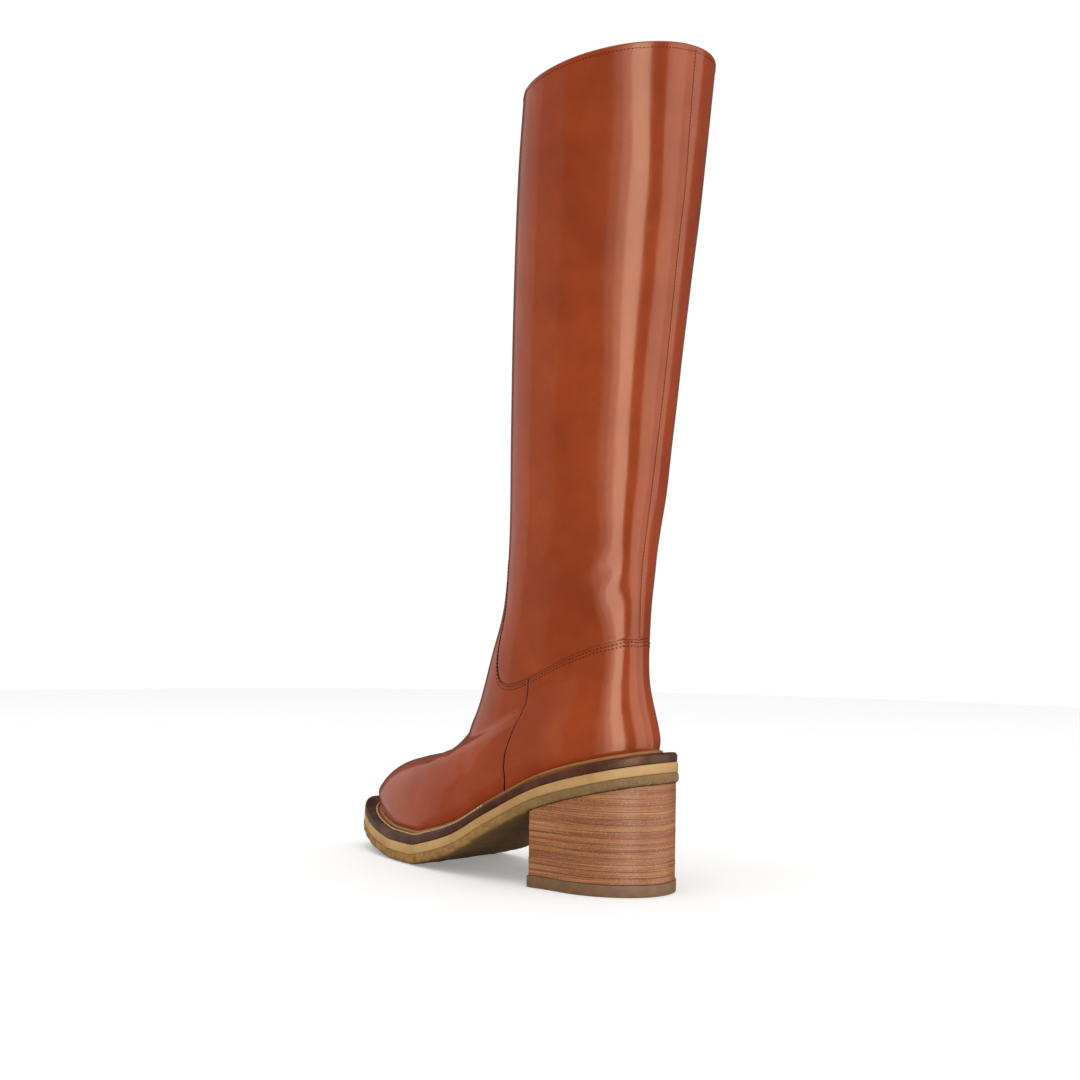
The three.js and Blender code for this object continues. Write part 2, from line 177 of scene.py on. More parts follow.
@dataclass(frozen=True)
class SolePlan:
    """Outline and side curve of the sole, in millimetres."""

    length: float = 252.3
    heel_half: float = 35.0
    heel_run: float = 44.0
    heel_roundness: float = 1.97
    outer_ball: float = 41.05
    outer_ball_run: float = 113.0
    outer_roundness: float = 1.98
    outer_pinch: float = 0.2
    inner_ball: float = 39.0
    inner_ball_run: float = 170.0
    inner_roundness: float = 2.1
    inner_pinch: float = 6.8
    swing: float = 11.4
    swing_power: float = 2.45
    outsole: float = 6.0
    midsole: float = 5.4
    welt: float = 5.6
    gap: float = 0.3
    lasting_gap: float = 0.4

    def underside(self, run: np.ndarray) -> np.ndarray:
        """Height of the outsole's underside along the run."""
        return UNDERSIDE(run)

    def midsole_bottom(self, run: np.ndarray) -> np.ndarray:
        """Height of the midsole's underside along the run."""
        return self.underside(run) + self.outsole + self.gap

    def welt_bottom(self, run: np.ndarray) -> np.ndarray:
        """Height of the welt's underside along the run."""
        return self.midsole_bottom(run) + self.midsole + self.gap

    def welt_top(self, run: np.ndarray) -> np.ndarray:
        """Height of the welt's top along the run."""
        return self.welt_bottom(run) + self.welt

    def lasting_line(self, run: np.ndarray) -> np.ndarray:
        """Height of the upper's lower edge along the run."""
        return self.welt_top(run) + self.lasting_gap

    def half(self, run: np.ndarray, side: np.ndarray, grow: np.ndarray | float = 0.0) -> np.ndarray:
        """Half-width of the sole on one side.

        Args:
            run: Distance from the back of the heel.
            side: Above zero for the outer side.
            grow: Distance by which the whole outline moves out.

        Returns:
            Half-widths.
        """
        outer = np.asarray(side) > 0
        ball = np.where(outer, self.outer_ball, self.inner_ball) + grow
        ball_run = np.where(outer, self.outer_ball_run, self.inner_ball_run)
        pinch = np.where(outer, self.outer_pinch, self.inner_pinch)
        roundness = np.where(outer, self.outer_roundness, self.inner_roundness)
        heel = self.heel_half + grow
        at = run + grow
        length = self.length + 2 * np.asarray(grow)
        back = np.clip((self.heel_run - at) / self.heel_run, 0.0, 1.0)
        heel_part = heel * (1 - back ** self.heel_roundness) ** (1 / self.heel_roundness)
        s = np.clip((at - self.heel_run) / (ball_run - self.heel_run), 0.0, 1.0)
        waist_part = heel + (ball - heel) * s * s * (3 - 2 * s) - pinch * np.sin(np.pi * s) ** 2
        front = np.clip((at - ball_run) / (length - ball_run), 0.0, 1.0)
        toe_part = ball * (1 - front ** roundness) ** (1 / roundness)
        return np.where(at < self.heel_run, heel_part, np.where(at < ball_run, waist_part, toe_part))

    def centre(self, run: np.ndarray) -> np.ndarray:
        """Sideways place of the sole's middle line along the run."""
        return -self.swing * np.clip(run / self.length, 0.0, 1.0) ** self.swing_power

    def rim(self, around: np.ndarray, grow: np.ndarray | float) -> tuple[np.ndarray, np.ndarray]:
        """Walks once round the outline.

        Args:
            around: Share of the way round, from the back over the outer side.
            grow: Distance by which the outline moves out.

        Returns:
            Sideways place and run of each point.
        """
        turn = 2 * np.pi * around
        run = -np.asarray(grow) + (self.length + 2 * np.asarray(grow)) * (1 - np.cos(turn)) / 2
        side = np.where(around < 0.5, 1.0, -1.0)
        x = self.centre(run) + side * self.half(run, side, grow)
        return x, run


@dataclass(frozen=True)
class Crease:
    """A soft trough in the leather with a low ridge on either side."""

    path: tuple[tuple[float, float], ...]
    depth: float
    width: float
    ridge: float = 0.4


@dataclass(frozen=True)
class Swell:
    """A broad rise, or with a height below zero a broad hollow, in the leather."""

    section: float
    angle: float
    height: float
    tall: float
    wide: float


COVER_EDGE = curve(((0, 7.1), (24, 7.45), (45, 8.0), (65, 8.5), (86, 8.8), (104, 9.15), (117, 9.5),
                    (126, 10.0), (132, 10.75), (139, 11.35), (150, 11.62), (180, 11.72)))
SIDE_SEAM = curve(((0, 73), (2, 71), (4, 71), (5.3, 72.5), (6.8, 78), (8, 83), (8.8, 86), (12, 90)))

OUTER = 4
INNER = 5
# front run, front height, back run, back height, outer and inner half-width, roundness,
# share of the sole's plan, share of the sole's side curve, how late the section climbs
SECTIONS: tuple[tuple[float, ...], ...] = (
    (234.5, 26.0, 12.0, 76.0, 34.3, 31.1, 2, 1, 1, 1),
    (238.7, 31.0, 11.8, 82.0, 36.5, 33.8, 2, 1, 1, 1),
    (238.8, 37.0, 13.4, 90.0, 37.8, 34.8, 2, 0.97, 0.9, 1.08),
    (233.8, 42.6, 15.6, 98.0, 37.8, 34.6, 2.05, 0.9, 0.75, 1.2),
    (224.4, 49.0, 17.7, 106.0, 36.5, 34.0, 2.1, 0.78, 0.58, 1.32),
    (209.6, 55.6, 19.4, 115.0, 34.2, 33.2, 2.1, 0.62, 0.4, 1.42),
    (189.7, 60.8, 20.2, 125.0, 31.4, 33.0, 2.1, 0.44, 0.24, 1.5),
    (170.6, 65.0, 20.5, 136.0, 29.3, 33.6, 2.1, 0.28, 0.12, 1.5),
    (155.0, 72.0, 20.4, 147.0, 28.3, 34.0, 2.1, 0.16, 0.05, 1.5),
    (141.4, 89.5, 20.2, 159.0, 28.4, 34.5, 2.1, 0.08, 0, 1.42),
    (127.8, 122.5, 19.2, 175.0, 29.1, 35.5, 2.1, 0.02, 0, 1.32),
    (116.2, 154.0, 17.2, 195.0, 31.0, 36.6, 2.05, 0, 0, 1.2),
    (110.6, 198.0, 13.3, 220.0, 34.9, 37.7, 2.05, 0, 0, 1.1),
    (108.7, 248.0, 7.3, 262.0, 39.1, 39.5, 2.05, 0, 0, 1),
    (107.2, 300.0, 1.2, 311.0, 42.2, 41.5, 2.05, 0, 0, 1),
    (104.9, 350.0, -4.2, 361.0, 45.0, 44.4, 2.05, 0, 0, 1),
    (101.3, 400.0, -9.6, 411.0, 47.9, 47.7, 2.05, 0, 0, 1),
    (96.8, 438.0, -13.8, 458.0, 49.8, 50.0, 2.05, 0, 0, 1),
)

CREASES = (
    Crease(((8.9, 168), (8.55, 158), (8.3, 146), (8.2, 134)), 0.6, 4.6),
    Crease(((7.9, 176), (7.65, 164), (7.4, 150)), 0.35, 4.2),
    Crease(((6.1, 108), (5.3, 98), (4.5, 92), (3.4, 88)), 0.32, 5.2),
    Crease(((6.5, 122), (5.9, 116), (5.0, 112)), 0.25, 5.0),
    Crease(((8.9, 192), (8.55, 202), (8.3, 214), (8.2, 226)), 0.6, 4.6),
    Crease(((5.9, 256), (5.3, 264), (4.5, 270), (3.6, 275)), 0.35, 5.0),
    Crease(((10.55, 30), (10.3, 42), (10.35, 56)), 0.4, 4.6),
    Crease(((10.9, 318), (10.4, 306), (10.3, 292)), 0.45, 4.8),
    Crease(((11.6, 66), (11.15, 82), (11.0, 98)), 0.35, 6.0),
)

SWELLS = (
    Swell(11.2, 26, 0.9, 16, 16),
    Swell(10.2, 14, -0.6, 12, 18),
    Swell(12.4, 48, -0.7, 22, 20),
    Swell(13.4, 30, 0.6, 26, 16),
    Swell(14.6, 44, -0.5, 26, 18),
    Swell(15.7, 26, 0.5, 24, 14),
    Swell(16.2, 60, -0.4, 22, 20),
    Swell(12.0, 330, 0.6, 20, 18),
    Swell(13.8, 300, -0.6, 26, 22),
    Swell(15.2, 320, 0.5, 24, 16),
    Swell(9.6, 100, 0.5, 14, 18),
    Swell(10.2, 52, 1.5, 13, 20),
    Swell(10.3, 56, 0.5, 7, 8),
    Swell(9.2, 26, -0.7, 9, 10),
    Swell(15.4, 6, 0.9, 24, 18),
    Swell(1.9, 45, 1.3, 17, 16),
)


class LeatherForm:
    """The finished leather surface of foot and leg, with its creases."""

    def __init__(self, plan: SolePlan) -> None:
        """Reads the section table and the frame's place.

        Args:
            plan: The sole under the leather.
        """
        self.plan = plan
        columns = list(zip(*SECTIONS))
        self.columns = [MonotoneCurve(range(len(SECTIONS)), column) for column in columns]
        inner_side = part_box("upper")[0][0] / MM
        heel_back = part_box("outsole")[1][1] / MM
        self.shift = Vector((inner_side + SECTIONS[-1][INNER], heel_back, 0.0))
        self.crease_lines = [self._crease_line(crease) for crease in CREASES]
        sections = np.array([swell.section for swell in SWELLS])
        self.swell_middles = self.point(sections, np.array([swell.angle for swell in SWELLS]))

    def _crease_line(self, crease: Crease) -> np.ndarray:
        """Fine points along a crease on the plain surface."""
        steps = np.linspace(0, len(crease.path) - 1, 40)
        path = np.array(crease.path)
        keys = np.arange(len(crease.path))
        sections = MonotoneCurve(keys, path[:, 0])(steps)
        angles = MonotoneCurve(keys, path[:, 1])(steps)
        return self.point(sections, angles)

    def point(self, section: np.ndarray, angle: np.ndarray) -> np.ndarray:
        """Points of the plain leather surface.

        Args:
            section: Section numbers.
            angle: Angles in degrees from the back seam.

        Returns:
            Rows of x, -run, height in millimetres.
        """
        section = np.asarray(section, dtype=float)
        front_run, front_z, back_run, back_z, outer, inner, oval, foot, sole, rise = [
            column(section) for column in self.columns]
        radians = np.radians(angle)
        c = np.cos(radians)
        s = np.sin(radians)
        side = np.where(s >= 0, 1.0, -1.0)
        half = np.where(side > 0, outer, inner)
        round_c = np.sign(c) * np.abs(c) ** (2 / oval)
        round_s = np.sign(s) * np.abs(s) ** (2 / oval)
        oval_run = back_run + (front_run - back_run) * (1 - round_c) / 2
        share = (1 - c) / 2
        foot_run = back_run + (front_run - back_run) * share
        widest = np.where(side > 0, self.plan.outer_ball, self.plan.inner_ball)
        plan_run = share * self.plan.length
        foot_x = side * self.plan.half(plan_run, side) / widest * half + self.plan.centre(plan_run)
        run = oval_run + (foot_run - oval_run) * foot
        x = round_s * half * (1 - foot) + foot_x * foot
        back = np.clip((run - front_run) / (back_run - front_run), 0.0, 1.0)
        chord = front_z + (back_z - front_z) * back ** rise
        front_line = self.plan.lasting_line(front_run)
        back_line = self.plan.lasting_line(back_run)
        sag = self.plan.lasting_line(run) - (front_line + (back_line - front_line) * back)
        return np.stack([x, -run, chord + sag * sole], axis=-1)

    def normal(self, section: np.ndarray, angle: np.ndarray) -> np.ndarray:
        """Outward directions of the plain leather surface."""
        high = np.minimum(TOP_SECTION, np.asarray(section) + 0.02)
        low = np.maximum(0.0, np.asarray(section) - 0.02)
        up = self.point(high, angle) - self.point(low, angle)
        around = self.point(section, np.asarray(angle) + 0.8) - self.point(section, np.asarray(angle) - 0.8)
        return unit(np.cross(up, around))

    def relief(self, spots: np.ndarray) -> np.ndarray:
        """Height of creases and swells over the plain surface.

        Args:
            spots: Points of the plain surface.

        Returns:
            Heights in millimetres.
        """
        height = np.zeros(len(spots))
        for crease, line in zip(CREASES, self.crease_lines):
            reach = crease.width * 4
            low = line.min(axis=0) - reach
            high = line.max(axis=0) + reach
            near = np.nonzero(np.all((spots > low) & (spots < high), axis=1))[0]
            if len(near) == 0:
                continue
            away = np.linalg.norm(spots[near][:, None, :] - line[None, :, :], axis=2)
            nearest = away.argmin(axis=1)
            d = away[np.arange(len(near)), nearest] / crease.width
            share = nearest / (len(line) - 1)
            fade = np.sin(np.pi * np.clip(0.06 + 0.88 * share, 0, 1)) ** 0.7
            trough = -np.exp(-d * d) + crease.ridge * np.exp(-((d - 1.9) ** 2))
            height[near] += crease.depth * fade * trough
        for swell, middle in zip(SWELLS, self.swell_middles):
            away = spots - middle
            flat = np.linalg.norm(away[:, :2], axis=1) / swell.wide
            tall = away[:, 2] / swell.tall
            height += swell.height * np.exp(-flat * flat - tall * tall)
        return height

    def offset(self, section: np.ndarray, angle: np.ndarray, out: np.ndarray | float) -> np.ndarray:
        """Points at a distance from the creased leather surface.

        Args:
            section: Section numbers.
            angle: Angles in degrees.
            out: Distance outwards.

        Returns:
            Rows of x, -run, height in millimetres.
        """
        spots = self.point(section, angle)
        out = np.broadcast_to(np.asarray(out, dtype=float), spots.shape[:1])
        section = np.asarray(section)
        fade = smooth_step((TOP_SECTION - section) / 0.6) * smooth_step(section / 0.8)
        lift = out + self.relief(spots) * fade
        return spots + self.normal(section, angle) * lift[:, None]

    def cover_top(self, angle: np.ndarray) -> np.ndarray:
        """Section that the foot covers' top edge reaches at each angle."""
        return COVER_EDGE(np.abs((np.asarray(angle) + 180) % 360 - 180))

    def under_cover(self, section: np.ndarray, angle: np.ndarray, depth: float) -> np.ndarray:
        """How far the leather lies below the surface where a cover goes over it."""
        return depth * smooth_step((self.cover_top(angle) + 0.06 - section) / 0.2)

    def place(self, spots: np.ndarray) -> list[Vector]:
        """Moves millimetre points to the frame in metres."""
        return [(Vector(spot) + self.shift) * MM for spot in spots]


# ---- making pieces ------------------------------------------------------------------

class Builder:
    """Turns the boot's functions into finished mesh pieces."""

    def __init__(self, form: LeatherForm, wardrobe: "Wardrobe") -> None:
        """Keeps the form whose place every piece takes, and the materials."""
        self.form = form
        self.wardrobe = wardrobe

    def sheet(self, across: int, up: int, place: Place) -> bmesh.types.BMesh:
        """Lays a grid over a surface.

        Args:
            across: Cells in the first direction.
            up: Cells in the second direction.
            place: Gives millimetre points for shares 0..1 in both directions.

        Returns:
            The mesh, with a UV map of the two shares.
        """
        bm = bmesh.new()
        bm.loops.layers.uv.new("UVMap")
        bmesh.ops.create_grid(bm, x_segments=across, y_segments=up, size=1.0, calc_uvs=True)
        verts = bm.verts[:]
        u = np.array([v.co.x for v in verts]) * 0.5 + 0.5
        v = np.array([v.co.y for v in verts]) * 0.5 + 0.5
        for vert, spot in zip(verts, self.form.place(place(u, v))):
            vert.co = spot
        return bm

    def close(self, bm: bmesh.types.BMesh, distance: float = 0.004) -> None:
        """Merges seams and poles and turns the faces outwards.

        Args:
            bm: The mesh.
            distance: Merge distance in millimetres.
        """
        bmesh.ops.remove_doubles(bm, verts=bm.verts[:], dist=distance * MM)
        bmesh.ops.dissolve_degenerate(bm, dist=distance * MM, edges=bm.edges[:])
        bmesh.ops.recalc_face_normals(bm, faces=bm.faces[:])

    def measure(self, bm: bmesh.types.BMesh, name: str, values: np.ndarray) -> None:
        """Stores a number on each point for the finish to read."""
        layer = bm.verts.layers.float.new(name)
        for vert, value in zip(bm.verts, values):
            vert[layer] = float(value)

    def piece(self, bm: bmesh.types.BMesh, name: str, finish: "Finish", slot: str,
              replaces: Iterable[str] = (), sharp: float = 50.0) -> bpy.types.Object:
        """Finishes a mesh as one piece of the boot.

        Args:
            bm: The mesh, freed afterwards.
            name: Name of the piece.
            finish: Its finish.
            slot: Material slot of the record; not used.
            replaces: Nodes that the piece stands for.
            sharp: Angle in degrees above which an edge shades sharp.

        Returns:
            The piece.
        """
        mesh = bpy.data.meshes.new(name)
        bm.to_mesh(mesh)
        bm.free()
        if "rim_mm" not in mesh.attributes and isinstance(finish.value, PolishedLeather):
            away = mesh.attributes.new("rim_mm", "FLOAT", "POINT")
            away.data.foreach_set("value", [NO_RIM] * len(mesh.vertices))
        mesh.polygons.foreach_set("use_smooth", [True] * len(mesh.polygons))
        mesh.set_sharp_from_angle(angle=math.radians(sharp))
        mesh.materials.append(self.wardrobe.get(finish))
        piece = bpy.data.objects.new(name, mesh)
        bpy.context.scene.collection.objects.link(piece)
        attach(piece, BODY)
        for node in replaces:
            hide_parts(node)
        log.info("%s: %d faces", name, len(mesh.polygons))
        return piece


@dataclass(frozen=True)
class Thread:
    """One stitch of a sewn row, in millimetres."""

    pitch: float
    length: float
    radius: float
    sink: float
    slant: float = 0.0


def spaced(points: np.ndarray, normals: np.ndarray,
           pitch: float) -> tuple[np.ndarray, np.ndarray, np.ndarray]:
    """Walks a line in equal steps.

    Args:
        points: Fine points along the line.
        normals: Surface directions at the points.
        pitch: Length of a step.

    Returns:
        Middles, directions along the line and surface directions.
    """
    steps = np.linalg.norm(np.diff(points, axis=0), axis=1)
    length = np.concatenate([[0.0], np.cumsum(steps)])
    count = max(2, int(length[-1] / pitch))
    at = (np.arange(count) + 0.5) * length[-1] / count
    middles = np.stack([np.interp(at, length, points[:, i]) for i in range(3)], axis=1)
    ahead = np.stack([np.interp(at + 0.4, length, points[:, i]) for i in range(3)], axis=1)
    behind = np.stack([np.interp(at - 0.4, length, points[:, i]) for i in range(3)], axis=1)
    facing = np.stack([np.interp(at, length, normals[:, i]) for i in range(3)], axis=1)
    return middles, unit(ahead - behind), unit(facing)


def stitch_row(builder: Builder, points: np.ndarray, normals: np.ndarray,
               thread: Thread) -> bmesh.types.BMesh:
    """Sews a row of stitches along a line.

    Args:
        builder: Gives the boot's place.
        points: Fine points along the line in millimetres.
        normals: Surface directions at the points.
        thread: Sizes of a stitch.

    Returns:
        The mesh of the whole row.
    """
    bm = bmesh.new()
    middles, along, facing = spaced(points, normals, thread.pitch)
    spots = builder.form.place(middles - facing * thread.sink)
    for spot, direction, out in zip(spots, along, facing):
        x_axis = Vector(direction)
        z_axis = Vector(out)
        y_axis = z_axis.cross(x_axis).normalized()
        x_axis = (x_axis + y_axis * thread.slant).normalized()
        y_axis = z_axis.cross(x_axis).normalized()
        z_axis = x_axis.cross(y_axis)
        turn = Matrix((x_axis, y_axis, z_axis)).transposed().to_4x4()
        size = Matrix.Diagonal((thread.length / 2 * MM, thread.radius * MM, thread.radius * MM, 1.0))
        bmesh.ops.create_uvsphere(bm, u_segments=6, v_segments=5, radius=1.0,
                                  matrix=Matrix.Translation(spot) @ turn @ size)
    return bm


def tube(builder: Builder, points: np.ndarray, normals: np.ndarray, wide: float, tall: float,
         around: int, closed: bool, taper: float = 0.0) -> bmesh.types.BMesh:
    """Sweeps an oval cord along a line.

    Args:
        builder: Lays the grid.
        points: Points along the line, which repeat the first at the end where it is closed.
        normals: Surface directions at the points.
        wide: Half-width along the surface.
        tall: Half-height off the surface.
        around: Cells round the cord.
        closed: Whether the line closes on itself.
        taper: Share of the length over which each open end narrows.

    Returns:
        The closed mesh.
    """
    count = len(points)
    if closed:
        along = unit(np.roll(points[:-1], -1, axis=0) - np.roll(points[:-1], 1, axis=0))
        along = np.concatenate([along, along[:1]])
    else:
        along = unit(np.gradient(points, axis=0))
    across = unit(np.cross(normals, along))

    def place(u: np.ndarray, v: np.ndarray) -> np.ndarray:
        """Points round the cord."""
        index = np.rint(v * (count - 1)).astype(int)
        turn = 2 * np.pi * u
        size = np.ones(len(u))
        if not closed:
            size = np.sqrt(np.clip(np.minimum(v, 1 - v) / max(taper, TINY), 0.0, 1.0))
        return (points[index] + across[index] * (np.cos(turn) * wide * size)[:, None]
                + normals[index] * (np.sin(turn) * tall * size)[:, None])

    bm = builder.sheet(around, count - 1, place)
    builder.close(bm)
    return bm


# ---- finishes -----------------------------------------------------------------------

class Bench:
    """Adds and joins nodes in one tree."""

    def __init__(self, tree: bpy.types.NodeTree) -> None:
        """Empties the tree."""
        self.tree = tree
        tree.nodes.clear()

    def add(self, kind: str, values: dict[str, object] | None = None, **settings: object) -> bpy.types.Node:
        """Adds a node.

        Args:
            kind: Node type.
            values: Values of its inputs by name.
            **settings: Its own settings.

        Returns:
            The node.
        """
        node = self.tree.nodes.new(kind)
        for name, value in settings.items():
            setattr(node, name, value)
        for name, value in (values or {}).items():
            node.inputs[name].default_value = value
        return node

    def join(self, out: Socket, into: Socket) -> None:
        """Joins two sockets."""
        self.tree.links.new(out, into)

    def noise(self, vector: Socket, scale: float, detail: float = 3.0, rough: float = 0.5,
              stretch: tuple[float, float, float] = (1.0, 1.0, 1.0)) -> Socket:
        """Noise over stretched coordinates, as a value around one half."""
        mapping = self.add("ShaderNodeMapping", {"Scale": stretch})
        self.join(vector, mapping.inputs["Vector"])
        node = self.add("ShaderNodeTexNoise", {"Scale": scale, "Detail": detail, "Roughness": rough})
        self.join(mapping.outputs["Vector"], node.inputs["Vector"])
        return node.outputs["Fac"]

    def ramp(self, value: Socket, low: float, high: float, to_low: float = 0.0,
             to_high: float = 1.0) -> Socket:
        """Maps a range smoothly onto another."""
        node = self.add("ShaderNodeMapRange", {"From Min": low, "From Max": high, "To Min": to_low,
                                               "To Max": to_high}, interpolation_type="SMOOTHSTEP")
        self.join(value, node.inputs["Value"])
        return node.outputs["Result"]

    def mix(self, factor: Socket, first: object, second: object,
            blend: str = "MIX") -> Socket:
        """Mixes two colours, each a socket or a colour."""
        node = self.add("ShaderNodeMix", data_type="RGBA", blend_type=blend)
        self.join(factor, node.inputs[0])
        for index, colour in ((6, first), (7, second)):
            if isinstance(colour, Socket):
                self.join(colour, node.inputs[index])
            else:
                node.inputs[index].default_value = colour
        return node.outputs[2]

    def math(self, operation: str, first: object, second: object = 0.0) -> Socket:
        """Does one sum, with each input a socket or a number."""
        node = self.add("ShaderNodeMath", operation=operation)
        for index, value in enumerate((first, second)):
            if isinstance(value, Socket):
                self.join(value, node.inputs[index])
            else:
                node.inputs[index].default_value = value
        return node.outputs[0]


GroupStart = tuple[bpy.types.NodeTree, Bench, bpy.types.Node, bpy.types.Node]


def new_group(name: str, inputs: Sequence[tuple[str, str, object]],
              outputs: Sequence[tuple[str, str]]) -> GroupStart:
    """Starts a shared node group.

    Args:
        name: Its name.
        inputs: Name, socket type and first value of each input.
        outputs: Name and socket type of each output.

    Returns:
        The group, its bench and its input and output nodes.
    """
    group = bpy.data.node_groups.new(name, "ShaderNodeTree")
    for label, kind, value in inputs:
        socket = group.interface.new_socket(label, in_out="INPUT", socket_type=kind)
        if value is not None:
            socket.default_value = value
    for label, kind in outputs:
        group.interface.new_socket(label, in_out="OUTPUT", socket_type=kind)
    bench = Bench(group)
    return group, bench, bench.add("NodeGroupInput"), bench.add("NodeGroupOutput")


class Effects:
    """Node groups that several finishes share."""

    def __init__(self) -> None:
        """Builds each group once."""
        self.grain = self._grain()
        self.drift = self._drift()
        self.burnish = self._burnish()

    def tone(self, bench: Bench, where: Socket, scale: float, deep: Colour, light: Colour) -> Socket:
        """Colour that drifts slowly between two tones."""
        values = {"Scale": scale, "Deep": deep, "Light": light}
        drift = bench.add("ShaderNodeGroup", values, node_tree=self.drift)
        bench.join(where, drift.inputs["Vector"])
        return drift.outputs["Color"]

    def _grain(self) -> bpy.types.NodeTree:
        """Fine hide grain: cells with soft pores."""
        group, bench, given, out = new_group(
            "hide_grain", (("Vector", "NodeSocketVector", None), ("Scale", "NodeSocketFloat", 900.0),
                           ("Pores", "NodeSocketFloat", 0.4)), (("Height", "NodeSocketFloat"),))
        cells = bench.add("ShaderNodeTexVoronoi", {"Randomness": 0.9}, feature="SMOOTH_F1")
        bench.join(given.outputs["Vector"], cells.inputs["Vector"])
        bench.join(given.outputs["Scale"], cells.inputs["Scale"])
        pores = bench.add("ShaderNodeTexNoise", {"Detail": 4.0, "Roughness": 0.6})
        bench.join(given.outputs["Vector"], pores.inputs["Vector"])
        bench.join(bench.math("MULTIPLY", given.outputs["Scale"], 0.45), pores.inputs["Scale"])
        weight = bench.math("MULTIPLY", pores.outputs["Fac"], given.outputs["Pores"])
        bench.join(bench.math("ADD", cells.outputs["Distance"], weight), out.inputs["Height"])
        return group

    def _drift(self) -> bpy.types.NodeTree:
        """Slow change of tone between two colours."""
        group, bench, given, out = new_group(
            "tone_drift", (("Vector", "NodeSocketVector", None), ("Scale", "NodeSocketFloat", 20.0),
                           ("Deep", "NodeSocketColor", None), ("Light", "NodeSocketColor", None)),
            (("Color", "NodeSocketColor"), ("Mask", "NodeSocketFloat")))
        slow = bench.add("ShaderNodeTexNoise", {"Detail": 3.0, "Roughness": 0.55})
        bench.join(given.outputs["Vector"], slow.inputs["Vector"])
        bench.join(given.outputs["Scale"], slow.inputs["Scale"])
        mask = bench.ramp(slow.outputs["Fac"], 0.3, 0.7)
        colour = bench.mix(mask, given.outputs["Deep"], given.outputs["Light"])
        bench.join(colour, out.inputs["Color"])
        bench.join(mask, out.inputs["Mask"])
        return group

    def _burnish(self) -> bpy.types.NodeTree:
        """Dark line close to a cut edge, from its distance in millimetres."""
        group, bench, given, out = new_group(
            "edge_burnish", (("Distance", "NodeSocketFloat", 10.0), ("Reach", "NodeSocketFloat", 1.0),
                             ("Strength", "NodeSocketFloat", 1.0)), (("Mask", "NodeSocketFloat"),))
        share = bench.math("DIVIDE", given.outputs["Distance"], given.outputs["Reach"])
        edge = bench.ramp(share, 0.0, 1.0, 1.0, 0.0)
        bench.join(bench.math("MULTIPLY", edge, given.outputs["Strength"]), out.inputs["Mask"])
        return group


def start_material(name: str) -> tuple[bpy.types.Material, Bench, bpy.types.Node, Socket]:
    """Starts a material with its shader.

    Args:
        name: Its name.

    Returns:
        The material, its bench, its Principled node and its object coordinates.
    """
    material = bpy.data.materials.new(name)
    material.use_nodes = True
    bench = Bench(material.node_tree)
    out = bench.add("ShaderNodeOutputMaterial")
    shader = bench.add("ShaderNodeBsdfPrincipled")
    bench.join(shader.outputs["BSDF"], out.inputs["Surface"])
    coordinates = bench.add("ShaderNodeTexCoord")
    return material, bench, shader, coordinates.outputs["Object"]


def add_bump(bench: Bench, shader: bpy.types.Node, height: Socket, strength: float,
             distance: float) -> None:
    """Joins a height to the shader as bump."""
    bump = bench.add("ShaderNodeBump", {"Strength": strength, "Distance": distance})
    bench.join(height, bump.inputs["Height"])
    bench.join(bump.outputs["Normal"], shader.inputs["Normal"])


class Coating:
    """A finish that makes one material."""

    name: str

    def build(self, effects: Effects) -> bpy.types.Material:
        """Makes the material.

        Args:
            effects: Shared node groups.

        Returns:
            The material.
        """
        material, bench, shader, where = start_material(self.name)
        self.dress(bench, shader, where, effects)
        return material

    def dress(self, bench: Bench, shader: bpy.types.Node, where: Socket, effects: Effects) -> None:
        """Joins the finish's own nodes.

        Args:
            bench: The material's nodes.
            shader: Its Principled node.
            where: Its object coordinates.
            effects: Shared node groups.
        """
        raise NotImplementedError


@dataclass(frozen=True)
class PolishedLeather(Coating):
    """Smooth polished cognac calf with a clear finish."""

    name: str
    deep: Colour
    light: Colour
    edge: Colour
    edge_reach: float = 0.5
    roughness: float = 0.17
    coat: float = 0.12
    coat_roughness: float = 0.08
    gleam: Colour = (1.0, 0.72, 0.47, 1.0)

    def dress(self, bench: Bench, shader: bpy.types.Node, where: Socket, effects: Effects) -> None:
        """Joins the finish's own nodes."""
        tone = effects.tone(bench, where, 16.0, self.deep, self.light)
        fine = bench.noise(where, 210.0, 3.0, 0.6)
        speck = bench.ramp(fine, 0.35, 0.75, 0.0, 0.22)
        colour = bench.mix(speck, tone, self.deep)
        rim = bench.add("ShaderNodeAttribute", attribute_name="rim_mm")
        burnish = bench.add("ShaderNodeGroup", {"Reach": self.edge_reach, "Strength": 0.9},
                            node_tree=effects.burnish)
        bench.join(rim.outputs["Fac"], burnish.inputs["Distance"])
        colour = bench.mix(burnish.outputs["Mask"], colour, self.edge)
        bench.join(colour, shader.inputs["Base Color"])
        smear = bench.noise(where, 60.0, 4.0, 0.6)
        bench.join(bench.ramp(smear, 0.25, 0.8, self.roughness - 0.03, self.roughness + 0.05),
                   shader.inputs["Roughness"])
        shader.inputs["Specular Tint"].default_value = self.gleam
        shader.inputs["Coat Weight"].default_value = self.coat
        shader.inputs["Coat Roughness"].default_value = self.coat_roughness
        grain = bench.add("ShaderNodeGroup", {"Scale": 1300.0, "Pores": 0.5}, node_tree=effects.grain)
        bench.join(where, grain.inputs["Vector"])
        ripple = bench.noise(where, 130.0, 2.0, 0.5)
        height = bench.math("ADD", grain.outputs["Height"], bench.math("MULTIPLY", ripple, 1.6))
        add_bump(bench, shader, height, 0.2, 0.00012)


